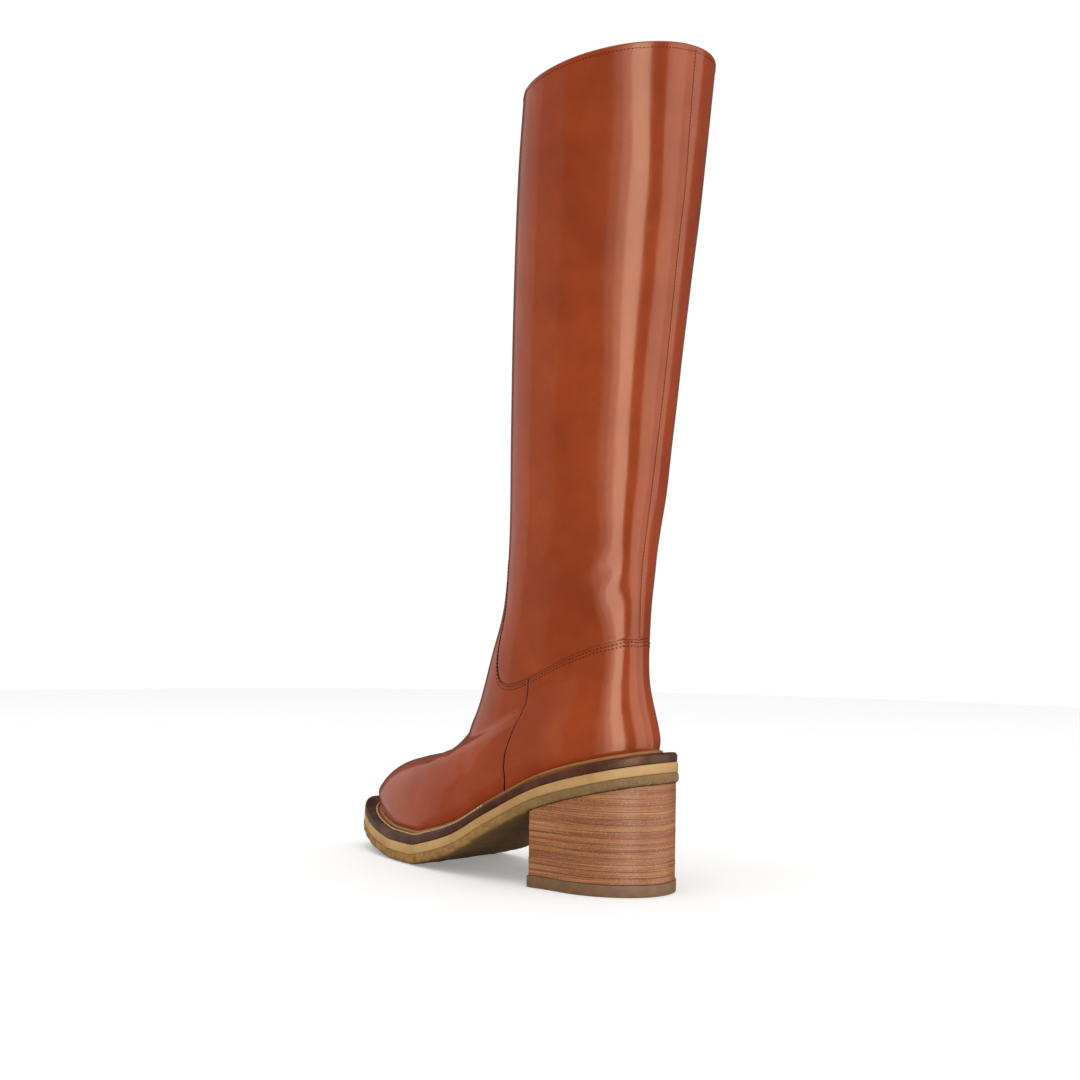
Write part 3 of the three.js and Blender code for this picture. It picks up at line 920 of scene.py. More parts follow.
@dataclass(frozen=True)
class NaturalLeather(Coating):
    """Matt undyed leather of the lining and insole."""

    name: str
    deep: Colour
    light: Colour

    def dress(self, bench: Bench, shader: bpy.types.Node, where: Socket, effects: Effects) -> None:
        """Joins the finish's own nodes."""
        tone = effects.tone(bench, where, 45.0, self.deep, self.light)
        bench.join(tone, shader.inputs["Base Color"])
        grain = bench.add("ShaderNodeGroup", {"Scale": 700.0, "Pores": 0.8}, node_tree=effects.grain)
        bench.join(where, grain.inputs["Vector"])
        bench.join(bench.ramp(grain.outputs["Height"], 0.2, 1.2, 0.62, 0.78), shader.inputs["Roughness"])
        add_bump(bench, shader, grain.outputs["Height"], 0.35, 0.0002)


@dataclass(frozen=True)
class PaintedWelt(Coating):
    """Welt leather: edge painted dark and polished, top left tan."""

    name: str = "welt_leather"
    paint_deep: Colour = srgb(66, 34, 20)
    paint_light: Colour = srgb(102, 58, 34)
    top: Colour = srgb(156, 90, 48)
    gleam: Colour = (1.0, 0.66, 0.46, 1.0)

    def dress(self, bench: Bench, shader: bpy.types.Node, where: Socket, effects: Effects) -> None:
        """Joins the finish's own nodes."""
        tone = effects.tone(bench, where, 70.0, self.paint_deep, self.paint_light)
        ledge = bench.add("ShaderNodeAttribute", attribute_name="ledge_mm")
        top = bench.ramp(ledge.outputs["Fac"], 3.9, 4.3, 1.0, 0.0)
        bench.join(bench.mix(top, tone, self.top), shader.inputs["Base Color"])
        scuff = bench.noise(where, 120.0, 5.0, 0.65, (1.0, 1.0, 3.0))
        bench.join(bench.ramp(scuff, 0.3, 0.8, 0.34, 0.56), shader.inputs["Roughness"])
        shader.inputs["Specular Tint"].default_value = self.gleam
        shader.inputs["Coat Weight"].default_value = 0.06
        shader.inputs["Coat Roughness"].default_value = 0.2
        streak = bench.noise(where, 90.0, 4.0, 0.6, (1.0, 1.0, 9.0))
        add_bump(bench, shader, streak, 0.3, 0.00035)


@dataclass(frozen=True)
class FoamMidsole(Coating):
    """Smooth matt cream midsole."""

    name: str = "cream_midsole"
    deep: Colour = srgb(190, 142, 84)
    light: Colour = srgb(214, 170, 106)

    def dress(self, bench: Bench, shader: bpy.types.Node, where: Socket, effects: Effects) -> None:
        """Joins the finish's own nodes."""
        tone = effects.tone(bench, where, 40.0, self.deep, self.light)
        specks = bench.noise(where, 900.0, 2.0, 0.5)
        dark = bench.ramp(specks, 0.68, 0.8, 0.0, 0.35)
        bench.join(bench.mix(dark, tone, self.deep), shader.inputs["Base Color"])
        bench.join(bench.ramp(specks, 0.3, 0.7, 0.5, 0.62), shader.inputs["Roughness"])
        scratch = bench.noise(where, 300.0, 4.0, 0.6, (1.0, 1.0, 5.0))
        add_bump(bench, shader, scratch, 0.2, 0.0002)


@dataclass(frozen=True)
class CrepeRubber(Coating):
    """Milky natural crepe with a ragged edge, greyer under the heel, with painted shade darkening the faces that point
    down.
    """

    name: str = "crepe_rubber"
    deep: Colour = srgb(150, 104, 44)
    light: Colour = srgb(184, 136, 66)
    heel: Colour = srgb(136, 104, 58)
    # Colour of the painted shade on the crepe's downward-facing underside.
    under: Colour = srgb(96, 68, 32)

    def dress(self, bench: Bench, shader: bpy.types.Node, where: Socket, effects: Effects) -> None:
        """Joins the finish's own nodes."""
        tone = effects.tone(bench, where, 240.0, self.deep, self.light)
        place = bench.add("ShaderNodeSeparateXYZ")
        bench.join(where, place.inputs[0])
        behind = bench.ramp(place.outputs["Y"], 0.0, 0.075, 0.0, 0.8)
        colour = bench.mix(behind, tone, self.heel)
        # Painted shade: faces that point down, read from the under attribute, darken towards the under colour.
        under = bench.add("ShaderNodeAttribute", attribute_name="under")
        colour = bench.mix(bench.ramp(under.outputs["Fac"], 0.55, 0.95, 0.0, 0.8), colour, self.under)
        crumbs = bench.noise(where, 800.0, 5.0, 0.7)
        pale = bench.ramp(crumbs, 0.54, 0.7, 0.0, 0.5)
        colour = bench.mix(pale, colour, srgb(196, 160, 104))
        dark = bench.ramp(bench.noise(where, 420.0, 4.0, 0.7), 0.55, 0.72, 0.0, 0.5)
        colour = bench.mix(dark, colour, srgb(88, 60, 28))
        bench.join(colour, shader.inputs["Base Color"])
        bench.join(bench.ramp(crumbs, 0.3, 0.7, 0.55, 0.85), shader.inputs["Roughness"])
        lumps = bench.math("ADD", bench.noise(where, 380.0, 5.0, 0.7), bench.math("MULTIPLY", crumbs, 0.5))
        add_bump(bench, shader, lumps, 0.7, 0.0006)


@dataclass(frozen=True)
class StackedLeather(Coating):
    """Many thin boards of leather, sanded and waxed."""

    name: str = "stacked_leather"
    board: float = 3.55
    base: Colour = srgb(180, 112, 58)
    red: Colour = srgb(156, 80, 38)
    pale: Colour = srgb(214, 162, 106)
    dark: Colour = srgb(86, 44, 22)

    def dress(self, bench: Bench, shader: bpy.types.Node, where: Socket, effects: Effects) -> None:
        """Joins the finish's own nodes."""
        bands = bench.noise(where, 1.0, 2.0, 0.6, (8.0, 8.0, 260.0))
        tone = bench.ramp(bands, 0.36, 0.62)
        colour = bench.mix(tone, self.red, self.base)
        thin = bench.noise(where, 1.0, 3.0, 0.7, (14.0, 14.0, 1700.0))
        colour = bench.mix(bench.ramp(thin, 0.55, 0.66, 0.0, 0.7), colour, self.pale)
        colour = bench.mix(bench.ramp(thin, 0.45, 0.34, 0.0, 0.6), colour, self.dark)
        fibres = bench.noise(where, 1.0, 3.0, 0.7, (900.0, 900.0, 2100.0))
        colour = bench.mix(bench.ramp(fibres, 0.53, 0.66, 0.0, 0.55), colour, self.pale)
        colour = bench.mix(bench.ramp(fibres, 0.46, 0.34, 0.0, 0.6), colour, self.red)
        height = bench.add("ShaderNodeSeparateXYZ")
        bench.join(where, height.inputs[0])
        layer = bench.math("MULTIPLY", height.outputs["Z"], 1000.0 / self.board)
        wobble = bench.math("MULTIPLY", bench.noise(where, 12.0, 2.0, 0.5), 0.25)
        phase = bench.math("FRACT", bench.math("ADD", layer, wobble))
        joint = bench.ramp(bench.math("ABSOLUTE", bench.math("SUBTRACT", phase, 0.5)), 0.44, 0.5)
        colour = bench.mix(bench.math("MULTIPLY", joint, 0.5), colour, self.dark)
        bench.join(colour, shader.inputs["Base Color"])
        bench.join(bench.ramp(thin, 0.3, 0.7, 0.42, 0.6), shader.inputs["Roughness"])
        shader.inputs["Coat Weight"].default_value = 0.12
        shader.inputs["Coat Roughness"].default_value = 0.3
        relief = bench.math("SUBTRACT", bench.math("ADD", thin, bench.math("MULTIPLY", fibres, 0.4)), joint)
        add_bump(bench, shader, relief, 0.5, 0.0003)


@dataclass(frozen=True)
class Rubber(Coating):
    """Dense brown rubber of the top lift."""

    name: str = "lift_rubber"
    deep: Colour = srgb(128, 90, 56)
    light: Colour = srgb(140, 100, 64)

    def dress(self, bench: Bench, shader: bpy.types.Node, where: Socket, effects: Effects) -> None:
        """Joins the finish's own nodes."""
        tone = effects.tone(bench, where, 160.0, self.deep, self.light)
        bench.join(tone, shader.inputs["Base Color"])
        sanded = bench.noise(where, 700.0, 4.0, 0.65, (1.0, 1.0, 2.5))
        bench.join(bench.ramp(sanded, 0.3, 0.7, 0.5, 0.68), shader.inputs["Roughness"])
        add_bump(bench, shader, sanded, 0.35, 0.0002)


@dataclass(frozen=True)
class SewingThread(Coating):
    """Twisted thread."""

    name: str
    deep: Colour
    light: Colour

    def dress(self, bench: Bench, shader: bpy.types.Node, where: Socket, effects: Effects) -> None:
        """Joins the finish's own nodes."""
        tone = effects.tone(bench, where, 1400.0, self.deep, self.light)
        bench.join(tone, shader.inputs["Base Color"])
        shader.inputs["Specular IOR Level"].default_value = 0.2
        twist = bench.noise(where, 2600.0, 2.0, 0.5)
        bench.join(bench.ramp(twist, 0.3, 0.7, 0.55, 0.8), shader.inputs["Roughness"])
        add_bump(bench, shader, twist, 0.4, 0.0001)


class Finish(Enum):
    """Every finish of the boot."""

    COGNAC = PolishedLeather("cognac_leather", srgb(152, 60, 29), srgb(176, 75, 37), srgb(88, 34, 15))
    # Leather of the back seam's lip, lighter than the shaft: a painted highlight along the raised edge.
    EDGE = PolishedLeather("seam_lip_painted_highlight", srgb(166, 80, 40), srgb(186, 98, 52), srgb(90, 38, 16))
    RAND = PolishedLeather("tan_rand", srgb(150, 94, 50), srgb(176, 118, 70), srgb(104, 58, 28),
                           roughness=0.42, coat=0.1)
    LINING = NaturalLeather("lining_leather", srgb(176, 128, 88), srgb(198, 152, 110))
    INSOLE = NaturalLeather("insole_leather", srgb(170, 122, 82), srgb(192, 146, 104))
    WELT = PaintedWelt()
    MIDSOLE = FoamMidsole()
    CREPE = CrepeRubber()
    STACK = StackedLeather()
    LIFT = Rubber()
    DARK_THREAD = SewingThread("dark_thread", srgb(66, 24, 11), srgb(98, 42, 20))
    CREAM_THREAD = SewingThread("cream_thread", srgb(190, 160, 118), srgb(226, 202, 164))


class Wardrobe:
    """Makes each finish once."""

    def __init__(self) -> None:
        """Builds the shared effects."""
        self.effects = Effects()
        self.made: dict[Finish, bpy.types.Material] = {}

    def get(self, finish: Finish) -> bpy.types.Material:
        """The material of a finish."""
        if finish not in self.made:
            self.made[finish] = finish.value.build(self.effects)
        return self.made[finish]


# ---- the sole -------------------------------------------------------------------------

@dataclass(frozen=True)
class SoleUnit:
    """Crepe outsole, cream midsole and welt, in millimetres."""

    crepe_around: int = 720
    welt_setback: float = 0.7
    midsole_setback: float = 0.2
    crepe_roughness: float = 0.5
    shoulder_drop: float = 1.5
    stitch: Thread = Thread(pitch=2.9, length=2.6, radius=0.55, sink=0.1, slant=0.28)

    def plate(self, builder: Builder, low: Callable[[np.ndarray], np.ndarray],
              profile: Sequence[tuple[float, float]],
              across: Sequence[float] = (0.0, 0.35, 0.7), around: int = 320) -> bmesh.types.BMesh:
        """A closed plate over the sole's plan.

        Args:
            builder: Lays the grid.
            low: Height of the plate's underside along the run.
            profile: Inset and height over the underside, from the underside round the edge to the top.
            across: Shares of the half-width for the rings inside the edge.
            around: Cells round the edge.

        Returns:
            The mesh, still to be closed.
        """
        plan = builder.form.plan
        rings = ([(share, profile[0]) for share in across] + [(1.0, spot) for spot in profile]
                 + [(share, profile[-1]) for share in reversed(across)])
        shares = np.array([ring[0] for ring in rings])
        insets = np.array([ring[1][0] for ring in rings])
        heights = np.array([ring[1][1] for ring in rings])

        def place(u: np.ndarray, v: np.ndarray) -> np.ndarray:
            """Points of the plate."""
            ring = np.rint(v * (len(rings) - 1)).astype(int)
            x, run = plan.rim(u, -insets[ring])
            middle = plan.centre(run)
            x = middle + (x - middle) * shares[ring]
            return np.stack([x, -run, low(run) + heights[ring]], axis=-1)

        return builder.sheet(around, len(rings) - 1, place)

    def build(self, builder: Builder) -> None:
        """Makes the sole's pieces.

        Args:
            builder: Finishes pieces.
        """
        self._outsole(builder)
        self._midsole(builder)
        self._welt(builder)
        self._welt_stitches(builder)

    def _outsole(self, builder: Builder) -> None:
        """Crepe layer with a crumbly edge and underside."""
        plan = builder.form.plan
        thick = plan.outsole
        profile = ((9, 0), (6, 0), (4.4, 0), (3.2, 0.05), (2.2, 0.22), (1.4, 0.55), (0.75, 1.0), (0.3, 1.6),
                   (0.06, 2.3), (0, 3.0), (0, 3.8), (0, 4.6), (0.05, 5.2), (0.2, 5.7), (0.6, 5.95),
                   (1.4, thick), (3, thick))
        bm = self.plate(builder, plan.underside, profile, (0.0, 0.2, 0.4, 0.6, 0.8), self.crepe_around)
        builder.close(bm)
        for vert in bm.verts:
            spot = vert.co * 1000
            fine = noise.noise(spot * 0.7) + 0.9 * noise.noise(spot * 1.1 + Vector((3, 1, 5)))
            coarse = noise.noise(spot * 0.21 + Vector((7, 3, 1)))
            out = self.crepe_roughness * (fine * 0.75 + coarse * 0.7)
            push = Vector(vert.normal) * out
            if vert.normal.z > 0.5:
                continue
            push.z = max(push.z, -spot.z)
            if spot.z < 0.6:
                push.z = max(push.z, 0.0)
            vert.co = (spot + push) * MM
        # How far each point faces down, which the crepe finish turns into painted shade on the underside.
        builder.measure(bm, "under", np.array([max(0.0, -vert.normal.z) for vert in bm.verts]))
        builder.piece(bm, "crepe_outsole", Finish.CREPE, "crepe", ("outsole",), 70)

    def _midsole(self, builder: Builder) -> None:
        """Cream layer with lightly eased edges."""
        plan = builder.form.plan
        set_in = self.midsole_setback
        top = plan.midsole + plan.gap
        profile = ((4, 0), (0.9, 0), (0.45 + set_in, 0.08), (0.12 + set_in, 0.35), (set_in, 0.8),
                   (set_in, 2.6), (set_in, top - 0.9), (0.14 + set_in, top - 0.4),
                   (0.5 + set_in, top - 0.1), (1.1, top), (4, top))
        bm = self.plate(builder, lambda run: plan.midsole_bottom(run) - plan.gap, profile)
        builder.close(bm)
        builder.piece(bm, "cream_midsole", Finish.MIDSOLE, "midsole", ("midsole",))

    def _welt(self, builder: Builder) -> None:
        """Welt with a rounded painted edge and a tan top that dips at the stitches."""
        plan = builder.form.plan
        s = self.welt_setback
        profile = ((5, -0.3), (1.2 + s, -0.3), (0.5 + s, -0.22), (0.12 + s, 0.1), (s, 0.6), (s, 1.6),
                   (s, 2.6), (0.02 + s, 3.4), (0.22 + s, 4.1), (0.6 + s, 4.7), (1.1 + s, 5.1), (1.7 + s, 5.3),
                   (2.6 + s, 5.4), (4.2 + s, 5.5), (6 + s, 5.6), (8 + s, 5.6), (14, 5.6))
        bm = self.plate(builder, plan.welt_bottom, profile, (0.0, 0.3, 0.6, 0.85))
        builder.close(bm)
        ledge = self._ledge(bm, builder)
        spots = np.array([list(vert.co / MM - builder.form.shift) for vert in bm.verts])
        high = spots[:, 2] - plan.welt_bottom(-spots[:, 1])
        drop = self.shoulder_drop * smooth_step((ledge - 4.3) / 3.0) * smooth_step((high - 0.5) / 4.0)
        front = smooth_step((-spots[:, 1] - 120.0) / 50.0)
        for vert, down in zip(bm.verts, drop * front):
            vert.co.z -= down * MM
        builder.measure(bm, "ledge_mm", np.where(high > 4.4, ledge, 9.0))
        builder.piece(bm, "welt_edge", Finish.WELT, "welt", ("welt",), 60)

    def _ledge(self, bm: bmesh.types.BMesh, builder: Builder) -> np.ndarray:
        """How far each point of the welt lies outside the foot of the leather."""
        form = builder.form
        angles = np.linspace(0, 360, 361)
        foot = form.point(np.full(361, 0.35), angles)[:, :2]
        spots = np.array([list(vert.co / MM - form.shift)[:2] for vert in bm.verts])
        away = np.linalg.norm(spots[:, None, :] - foot[None, :, :], axis=2)
        nearest = away.argmin(axis=1)
        ahead = foot[(nearest + 1) % 360] - foot[(nearest - 1) % 360]
        beside = spots - foot[nearest]
        outside = ahead[:, 0] * beside[:, 1] - ahead[:, 1] * beside[:, 0] > 0
        return np.where(outside, away.min(axis=1), 0.0)

    def _welt_stitches(self, builder: Builder) -> None:
        """Cream stitches round the forefoot, just outside the rand."""
        form = builder.form
        plan = form.plan
        angles = np.linspace(80, 283, 500)
        base = form.point(np.full(500, 0.35), angles)
        out = form.normal(np.full(500, 0.35), angles)
        out[:, 2] = 0.0
        line = base + unit(out) * 3.7
        line[:, 2] = plan.welt_top(-line[:, 1]) + 0.1
        lift = np.tile([0.0, 0.0, 1.0], (500, 1))
        bm = stitch_row(builder, line, unit(lift + unit(out) * 0.8), self.stitch)
        builder.piece(bm, "welt_stitches", Finish.CREAM_THREAD, "welt", (), 80)


@dataclass(frozen=True)
class BlockHeel:
    """Stacked leather heel and its top lift, in millimetres."""

    breast: float = 70.4
    setback: float = 1.2
    lift_setback: float = 0.5
    lift_height: float = 6.5
    board: float = 3.55
    corner: float = 1.6

    def outline(self, plan: SolePlan, around: np.ndarray, grow: np.ndarray) -> tuple[np.ndarray, np.ndarray]:
        """Walks round the D of the heel.

        Args:
            plan: The sole over the heel.
            around: Share of the way round, from the middle of the breast over the outer side.
            grow: Distance by which the outline moves out.

        Returns:
            Sideways place and run of each point.
        """
        turn = np.abs(around * 2 - 1)
        side = np.where(around < 0.5, 1.0, -1.0)
        breast = self.breast + np.minimum(grow + 0.5, 0.0)
        flat = 0.28
        across = np.clip((1 - turn) / flat, 0.0, 1.0)
        back = np.clip((turn / (1 - flat)), 0.0, 1.0)
        run_side = -grow + (breast + grow) * np.sin(np.pi / 2 * back) ** 1.6
        edge = plan.half(run_side, side, grow)
        corner = np.clip((run_side - (breast - self.corner)) / self.corner, 0.0, 1.0)
        edge = edge - self.corner * (1 - np.sqrt(1 - corner * corner))
        x_breast = plan.half(breast, side, grow) - self.corner
        on_breast = turn > 1 - flat
        half = np.where(on_breast, x_breast * across, edge)
        run = np.where(on_breast, breast, run_side)
        return plan.centre(run) + side * half, run

    def block(self, builder: Builder, rows: Sequence[tuple[float, float]], set_in: float,
              top: Callable[[np.ndarray], np.ndarray]) -> bmesh.types.BMesh:
        """A closed block on the heel's outline.

        Args:
            builder: Lays the grid.
            rows: Inset and height of each ring, from the bottom up.
            set_in: Inset of the whole block from the sole.
            top: Height that no point goes over, along the run.

        Returns:
            The closed mesh.
        """
        plan = builder.form.plan
        shares = [0.0, 0.4, 0.8]
        rings = ([(share, rows[0]) for share in shares] + [(1.0, row) for row in rows]
                 + [(share, rows[-1]) for share in reversed(shares)])
        share_of = np.array([ring[0] for ring in rings])
        inset_of = np.array([ring[1][0] for ring in rings])
        height_of = np.array([ring[1][1] for ring in rings])

        def place(u: np.ndarray, v: np.ndarray) -> np.ndarray:
            """Points of the block."""
            ring = np.rint(v * (len(rings) - 1)).astype(int)
            x, run = self.outline(plan, u, -(set_in + inset_of[ring]))
            middle = plan.centre(run)
            x = middle + (x - middle) * share_of[ring]
            return np.stack([x, -run, np.minimum(height_of[ring], top(run))], axis=-1)

        bm = builder.sheet(200, len(rings) - 1, place)
        builder.close(bm)
        return bm

    def build(self, builder: Builder) -> None:
        """Makes the stack and the lift.

        Args:
            builder: Finishes pieces.
        """
        plan = builder.form.plan
        rows = [(0.35, self.lift_height + 0.05), (0.12, self.lift_height + 0.3)]
        boards = int((62.0 - self.lift_height) / self.board) + 1
        for board in range(boards):
            low = self.lift_height + board * self.board
            uneven = 0.1 * math.sin(board * 2.4) + 0.06 * math.sin(board * 5.1)
            rows += [(0.09 + uneven * 0.4, low + 0.3), (0.08 + uneven * 0.4, low + 0.6),
                     (0.08 + uneven * 0.4, low + self.board - 0.3), (0.16, low + self.board)]
        bm = self.block(builder, rows, self.setback - 0.15, lambda run: plan.underside(run) + 0.15)
        builder.piece(bm, "heel_stack", Finish.STACK, "heel_stack", ("heel_stack",), 40)
        tall = self.lift_height
        rows = [(0.5, 0.0), (0.15, 0.12), (0, 0.45), (0, 3.0), (0, tall - 0.45), (0.15, tall - 0.12),
                (0.5, tall)]
        bm = self.block(builder, rows, self.lift_setback, lambda run: np.full_like(run, tall))
        builder.piece(bm, "heel_top_lift", Finish.LIFT, "top_lift", ("heel_top_lift",), 40)


# ---- the upper ------------------------------------------------------------------------

@dataclass(frozen=True)
class Leg:
    """Shaft leather, lining, collar and back seam, in millimetres."""

    around: int = 230
    rows: int = 235
    fold: float = 1.15
    fold_drop: float = 1.0
    turned_in: float = 9.0
    wall: float = 1.3
    lining: float = 0.9
    cover: float = 1.65
    collar_thread: Thread = Thread(pitch=2.1, length=1.35, radius=0.3, sink=0.02)
    seam_thread: Thread = Thread(pitch=2.1, length=1.4, radius=0.22, sink=0.04)

    def section_steps(self, form: LeatherForm, count: int, low: float = 0.0,
                      high: float = TOP_SECTION) -> np.ndarray:
        """Section numbers evenly spaced in height on the side of the leg."""
        fine = np.linspace(low, high, 400)
        lines = np.zeros(400)
        for angle in (10.0, 90.0, 170.0):
            spots = form.point(fine, np.full(400, angle))
            lines += np.concatenate([[0.0], np.cumsum(np.linalg.norm(np.diff(spots, axis=0), axis=1))])
        return np.interp(np.linspace(0, lines[-1], count), lines, fine)

    def build(self, builder: Builder) -> None:
        """Makes the leg's pieces.

        Args:
            builder: Finishes pieces.
        """
        self._leather(builder)
        self._lining(builder)
        self._collar(builder)
        self._back_seam(builder)

    def _leather(self, builder: Builder) -> None:
        """Outer leather, folded over at the collar."""
        form = builder.form
        outer = self.section_steps(form, self.rows)
        inner = outer[::-1][::3]
        turns = np.linspace(0, np.pi, 9)
        rings: list[tuple[float, float, float]] = [(s, 0.0, 0.0) for s in outer[:-1]]
        rings += [(TOP_SECTION, self.fold * (math.cos(t) - 1), self.fold * math.sin(t) - self.fold_drop)
                  for t in turns]
        rings += [(s, -2 * self.fold, 0.0) for s in (16.95, 16.9, 16.85, 16.8)]
        rings += [(min(16.75, s), -self.wall, 0.0) for s in inner if s < 16.78]
        rings.append(rings[0])
        section_of = np.array([ring[0] for ring in rings])
        out_of = np.array([ring[1] for ring in rings])
        lift_of = np.array([ring[2] for ring in rings])

        def place(u: np.ndarray, v: np.ndarray) -> np.ndarray:
            """Points of the leather."""
            ring = np.rint(v * (len(rings) - 1)).astype(int)
            angle = 360 * u
            section = section_of[ring]
            under = form.under_cover(section, angle, self.cover)
            spots = form.offset(section, angle, out_of[ring] - under)
            spots[:, 2] += lift_of[ring]
            low = section < TINY
            spots[low, 2] = form.plan.lasting_line(-spots[low, 1])
            return spots

        bm = builder.sheet(self.around, len(rings) - 1, place)
        builder.close(bm)
        builder.piece(bm, "shaft_leather", Finish.COGNAC, "leather", ("upper",), 60)

    def _lining(self, builder: Builder) -> None:
        """Lining leather inside the leg and foot."""
        form = builder.form
        sections = self.section_steps(form, 110, 0.05, 16.9)
        rings = [(s, -self.wall - 0.06) for s in sections]
        rings += [(s, -self.wall - self.lining) for s in sections[::-1]]
        rings.append(rings[0])
        section_of = np.array([ring[0] for ring in rings])
        out_of = np.array([ring[1] for ring in rings])

        def place(u: np.ndarray, v: np.ndarray) -> np.ndarray:
            """Points of the lining."""
            ring = np.rint(v * (len(rings) - 1)).astype(int)
            angle = 360 * u
            section = section_of[ring]
            under = form.under_cover(section, angle, self.cover)
            return form.offset(section, angle, out_of[ring] - under)

        bm = builder.sheet(110, len(rings) - 1, place)
        builder.close(bm)
        builder.piece(bm, "shaft_lining", Finish.LINING, "lining", (), 60)

    def _collar(self, builder: Builder) -> None:
        """Row of stitches below the folded edge."""
        form = builder.form
        angles = np.linspace(0, 360, 700)
        line = form.offset(np.full(700, 16.93), angles, 0.0)
        bm = stitch_row(builder, line, form.normal(np.full(700, 16.93), angles), self.collar_thread)
        builder.piece(bm, "collar_stitches", Finish.DARK_THREAD, "leather", (), 80)

    def _back_seam(self, builder: Builder) -> None:
        """Raised lip of the back seam, its leather painted lighter as a highlight, with its stitches beside it."""
        form = builder.form
        sections = self.section_steps(form, 260, 7.2, 16.97)
        half = (form.columns[OUTER](sections) + form.columns[INNER](sections)) / 2
        for name, side, build_lip in (("back_seam_lip", -0.55, True), ("back_seam_stitches", 0.35, False)):
            angles = np.degrees(side / half)
            line = form.offset(sections, angles, 0.05)
            facing = form.normal(sections, angles)
            if build_lip:
                bm = tube(builder, line, facing, 0.5, 0.42, 8, False, 0.01)
                # The lip's lighter leather is a painted highlight along the raised seam edge.
                finish = Finish.EDGE
            else:
                bm = stitch_row(builder, line, facing, self.seam_thread)
                finish = Finish.DARK_THREAD
            builder.piece(bm, name, finish, "leather", (), 80)


@dataclass(frozen=True)
class FootCovers:
    """Vamp with its tongue, and counter, lying on the upper, in millimetres."""

    thick: float = 1.1
    gap: float = 0.16
    edge_round: float = 0.3
    channel: float = 0.14
    puff: float = 0.1
    vamp_cells: tuple[int, int] = (210, 130)
    counter_cells: tuple[int, int] = (120, 74)
    rows: tuple[float, ...] = (1.5, 3.6)
    thread: Thread = Thread(pitch=2.2, length=1.3, radius=0.33, sink=0.06)

    def sewn(self, form: LeatherForm, section: np.ndarray, angle: np.ndarray) -> np.ndarray:
        """Height of the sewn channels below the top edge.

        Args:
            form: The leather's form.
            section: Section numbers.
            angle: Angles in degrees.

        Returns:
            Heights in millimetres, below zero in a channel.
        """
        crest = form.cover_top(angle)
        scale = np.linalg.norm(form.point(crest, angle) - form.point(crest - 0.1, angle), axis=1) / 0.1
        down = (crest - section) * scale
        first, second = self.rows
        dip = np.exp(-((down - first) / 0.42) ** 2) + np.exp(-((down - second) / 0.42) ** 2)
        between = np.exp(-((down - (first + second) / 2) / 0.6) ** 2)
        rise = between + 0.6 * np.exp(-((down - second - 1.3) / 0.9) ** 2)
        return self.puff * rise - self.channel * dip

    def cover(self, builder: Builder, cells: tuple[int, int],
              angle_at: Callable[[np.ndarray, np.ndarray], np.ndarray]) -> bmesh.types.BMesh:
        """One cover between two seam angles.

        Args:
            builder: Lays the grid.
            cells: Cells along and up.
            angle_at: Angle for a section and a share of the way along.

        Returns:
            The closed mesh with rounded edges, and each point's distance from an edge as rim_mm.
        """
        form = builder.form

        def spots_at(u: np.ndarray, v: np.ndarray, out: float) -> np.ndarray:
            """Points of one face of the cover."""
            crest = form.cover_top(angle_at(np.full(len(u), 8.8), u))
            section = crest * v
            angle = angle_at(section, u)
            spots = form.offset(section, angle, out + self.sewn(form, section, angle))
            low = v < TINY
            spots[low, 2] = form.plan.lasting_line(-spots[low, 1]) - 0.2
            return spots

        def ease(v: np.ndarray) -> np.ndarray:
            """Rows much closer together at the sewn top edge."""
            return np.interp(v, (0.0, 0.82, 1.0), (0.0, 0.945, 1.0))

        bm = builder.sheet(cells[0], cells[1], lambda u, v: spots_at(u, ease(v), 0.0))
        order = np.arange(len(bm.verts))
        u = (order % (cells[0] + 1)) / cells[0]
        v = ease((order // (cells[0] + 1)) / cells[1])
        here = spots_at(u, v, 0.0)
        edges = (spots_at(u, np.ones(len(u)), 0.0), spots_at(np.zeros(len(u)), v, 0.0),
                 spots_at(np.ones(len(u)), v, 0.0))
        rim = np.min([np.linalg.norm(here - edge, axis=1) for edge in edges], axis=0)
        builder.measure(bm, "rim_mm", rim)
        builder.measure(bm, "order", order)
        inner = form.place(spots_at(u, v, -self.thick))
        grown = bmesh.ops.extrude_face_region(bm, geom=bm.faces[:], use_keep_orig=True)
        layer = bm.verts.layers.float["order"]
        for vert in [item for item in grown["geom"] if isinstance(item, bmesh.types.BMVert)]:
            vert.co = inner[round(vert[layer])]
        bm.verts.layers.float.remove(layer)
        bmesh.ops.recalc_face_normals(bm, faces=bm.faces[:])
        corners = [edge for edge in bm.edges
                   if len(edge.link_faces) == 2 and edge.calc_face_angle(0.0) > math.radians(55)]
        bmesh.ops.bevel(bm, geom=corners, offset=self.edge_round * MM, offset_type="OFFSET", segments=3,
                        profile=0.5, affect="EDGES", material=-1, clamp_overlap=True)
        return bm

    def build(self, builder: Builder) -> None:
        """Makes both covers and their stitches.

        Args:
            builder: Finishes pieces.
        """
        def vamp_angle(section: np.ndarray, share: np.ndarray) -> np.ndarray:
            """Angle over the toe from seam to seam."""
            edge = SIDE_SEAM(section) + self.gap
            return edge + (360 - 2 * edge) * share

        def counter_angle(section: np.ndarray, share: np.ndarray) -> np.ndarray:
            """Angle over the heel from seam to seam."""
            edge = SIDE_SEAM(section) - self.gap
            return -edge + 2 * edge * share

        bm = self.cover(builder, self.vamp_cells, vamp_angle)
        builder.piece(bm, "vamp_cover", Finish.COGNAC, "leather", ("vamp",), 60)
        bm = self.cover(builder, self.counter_cells, counter_angle)
        builder.piece(bm, "counter_cover", Finish.COGNAC, "leather", ("counter",), 60)
        self._stitches(builder)
        self._rand(builder)

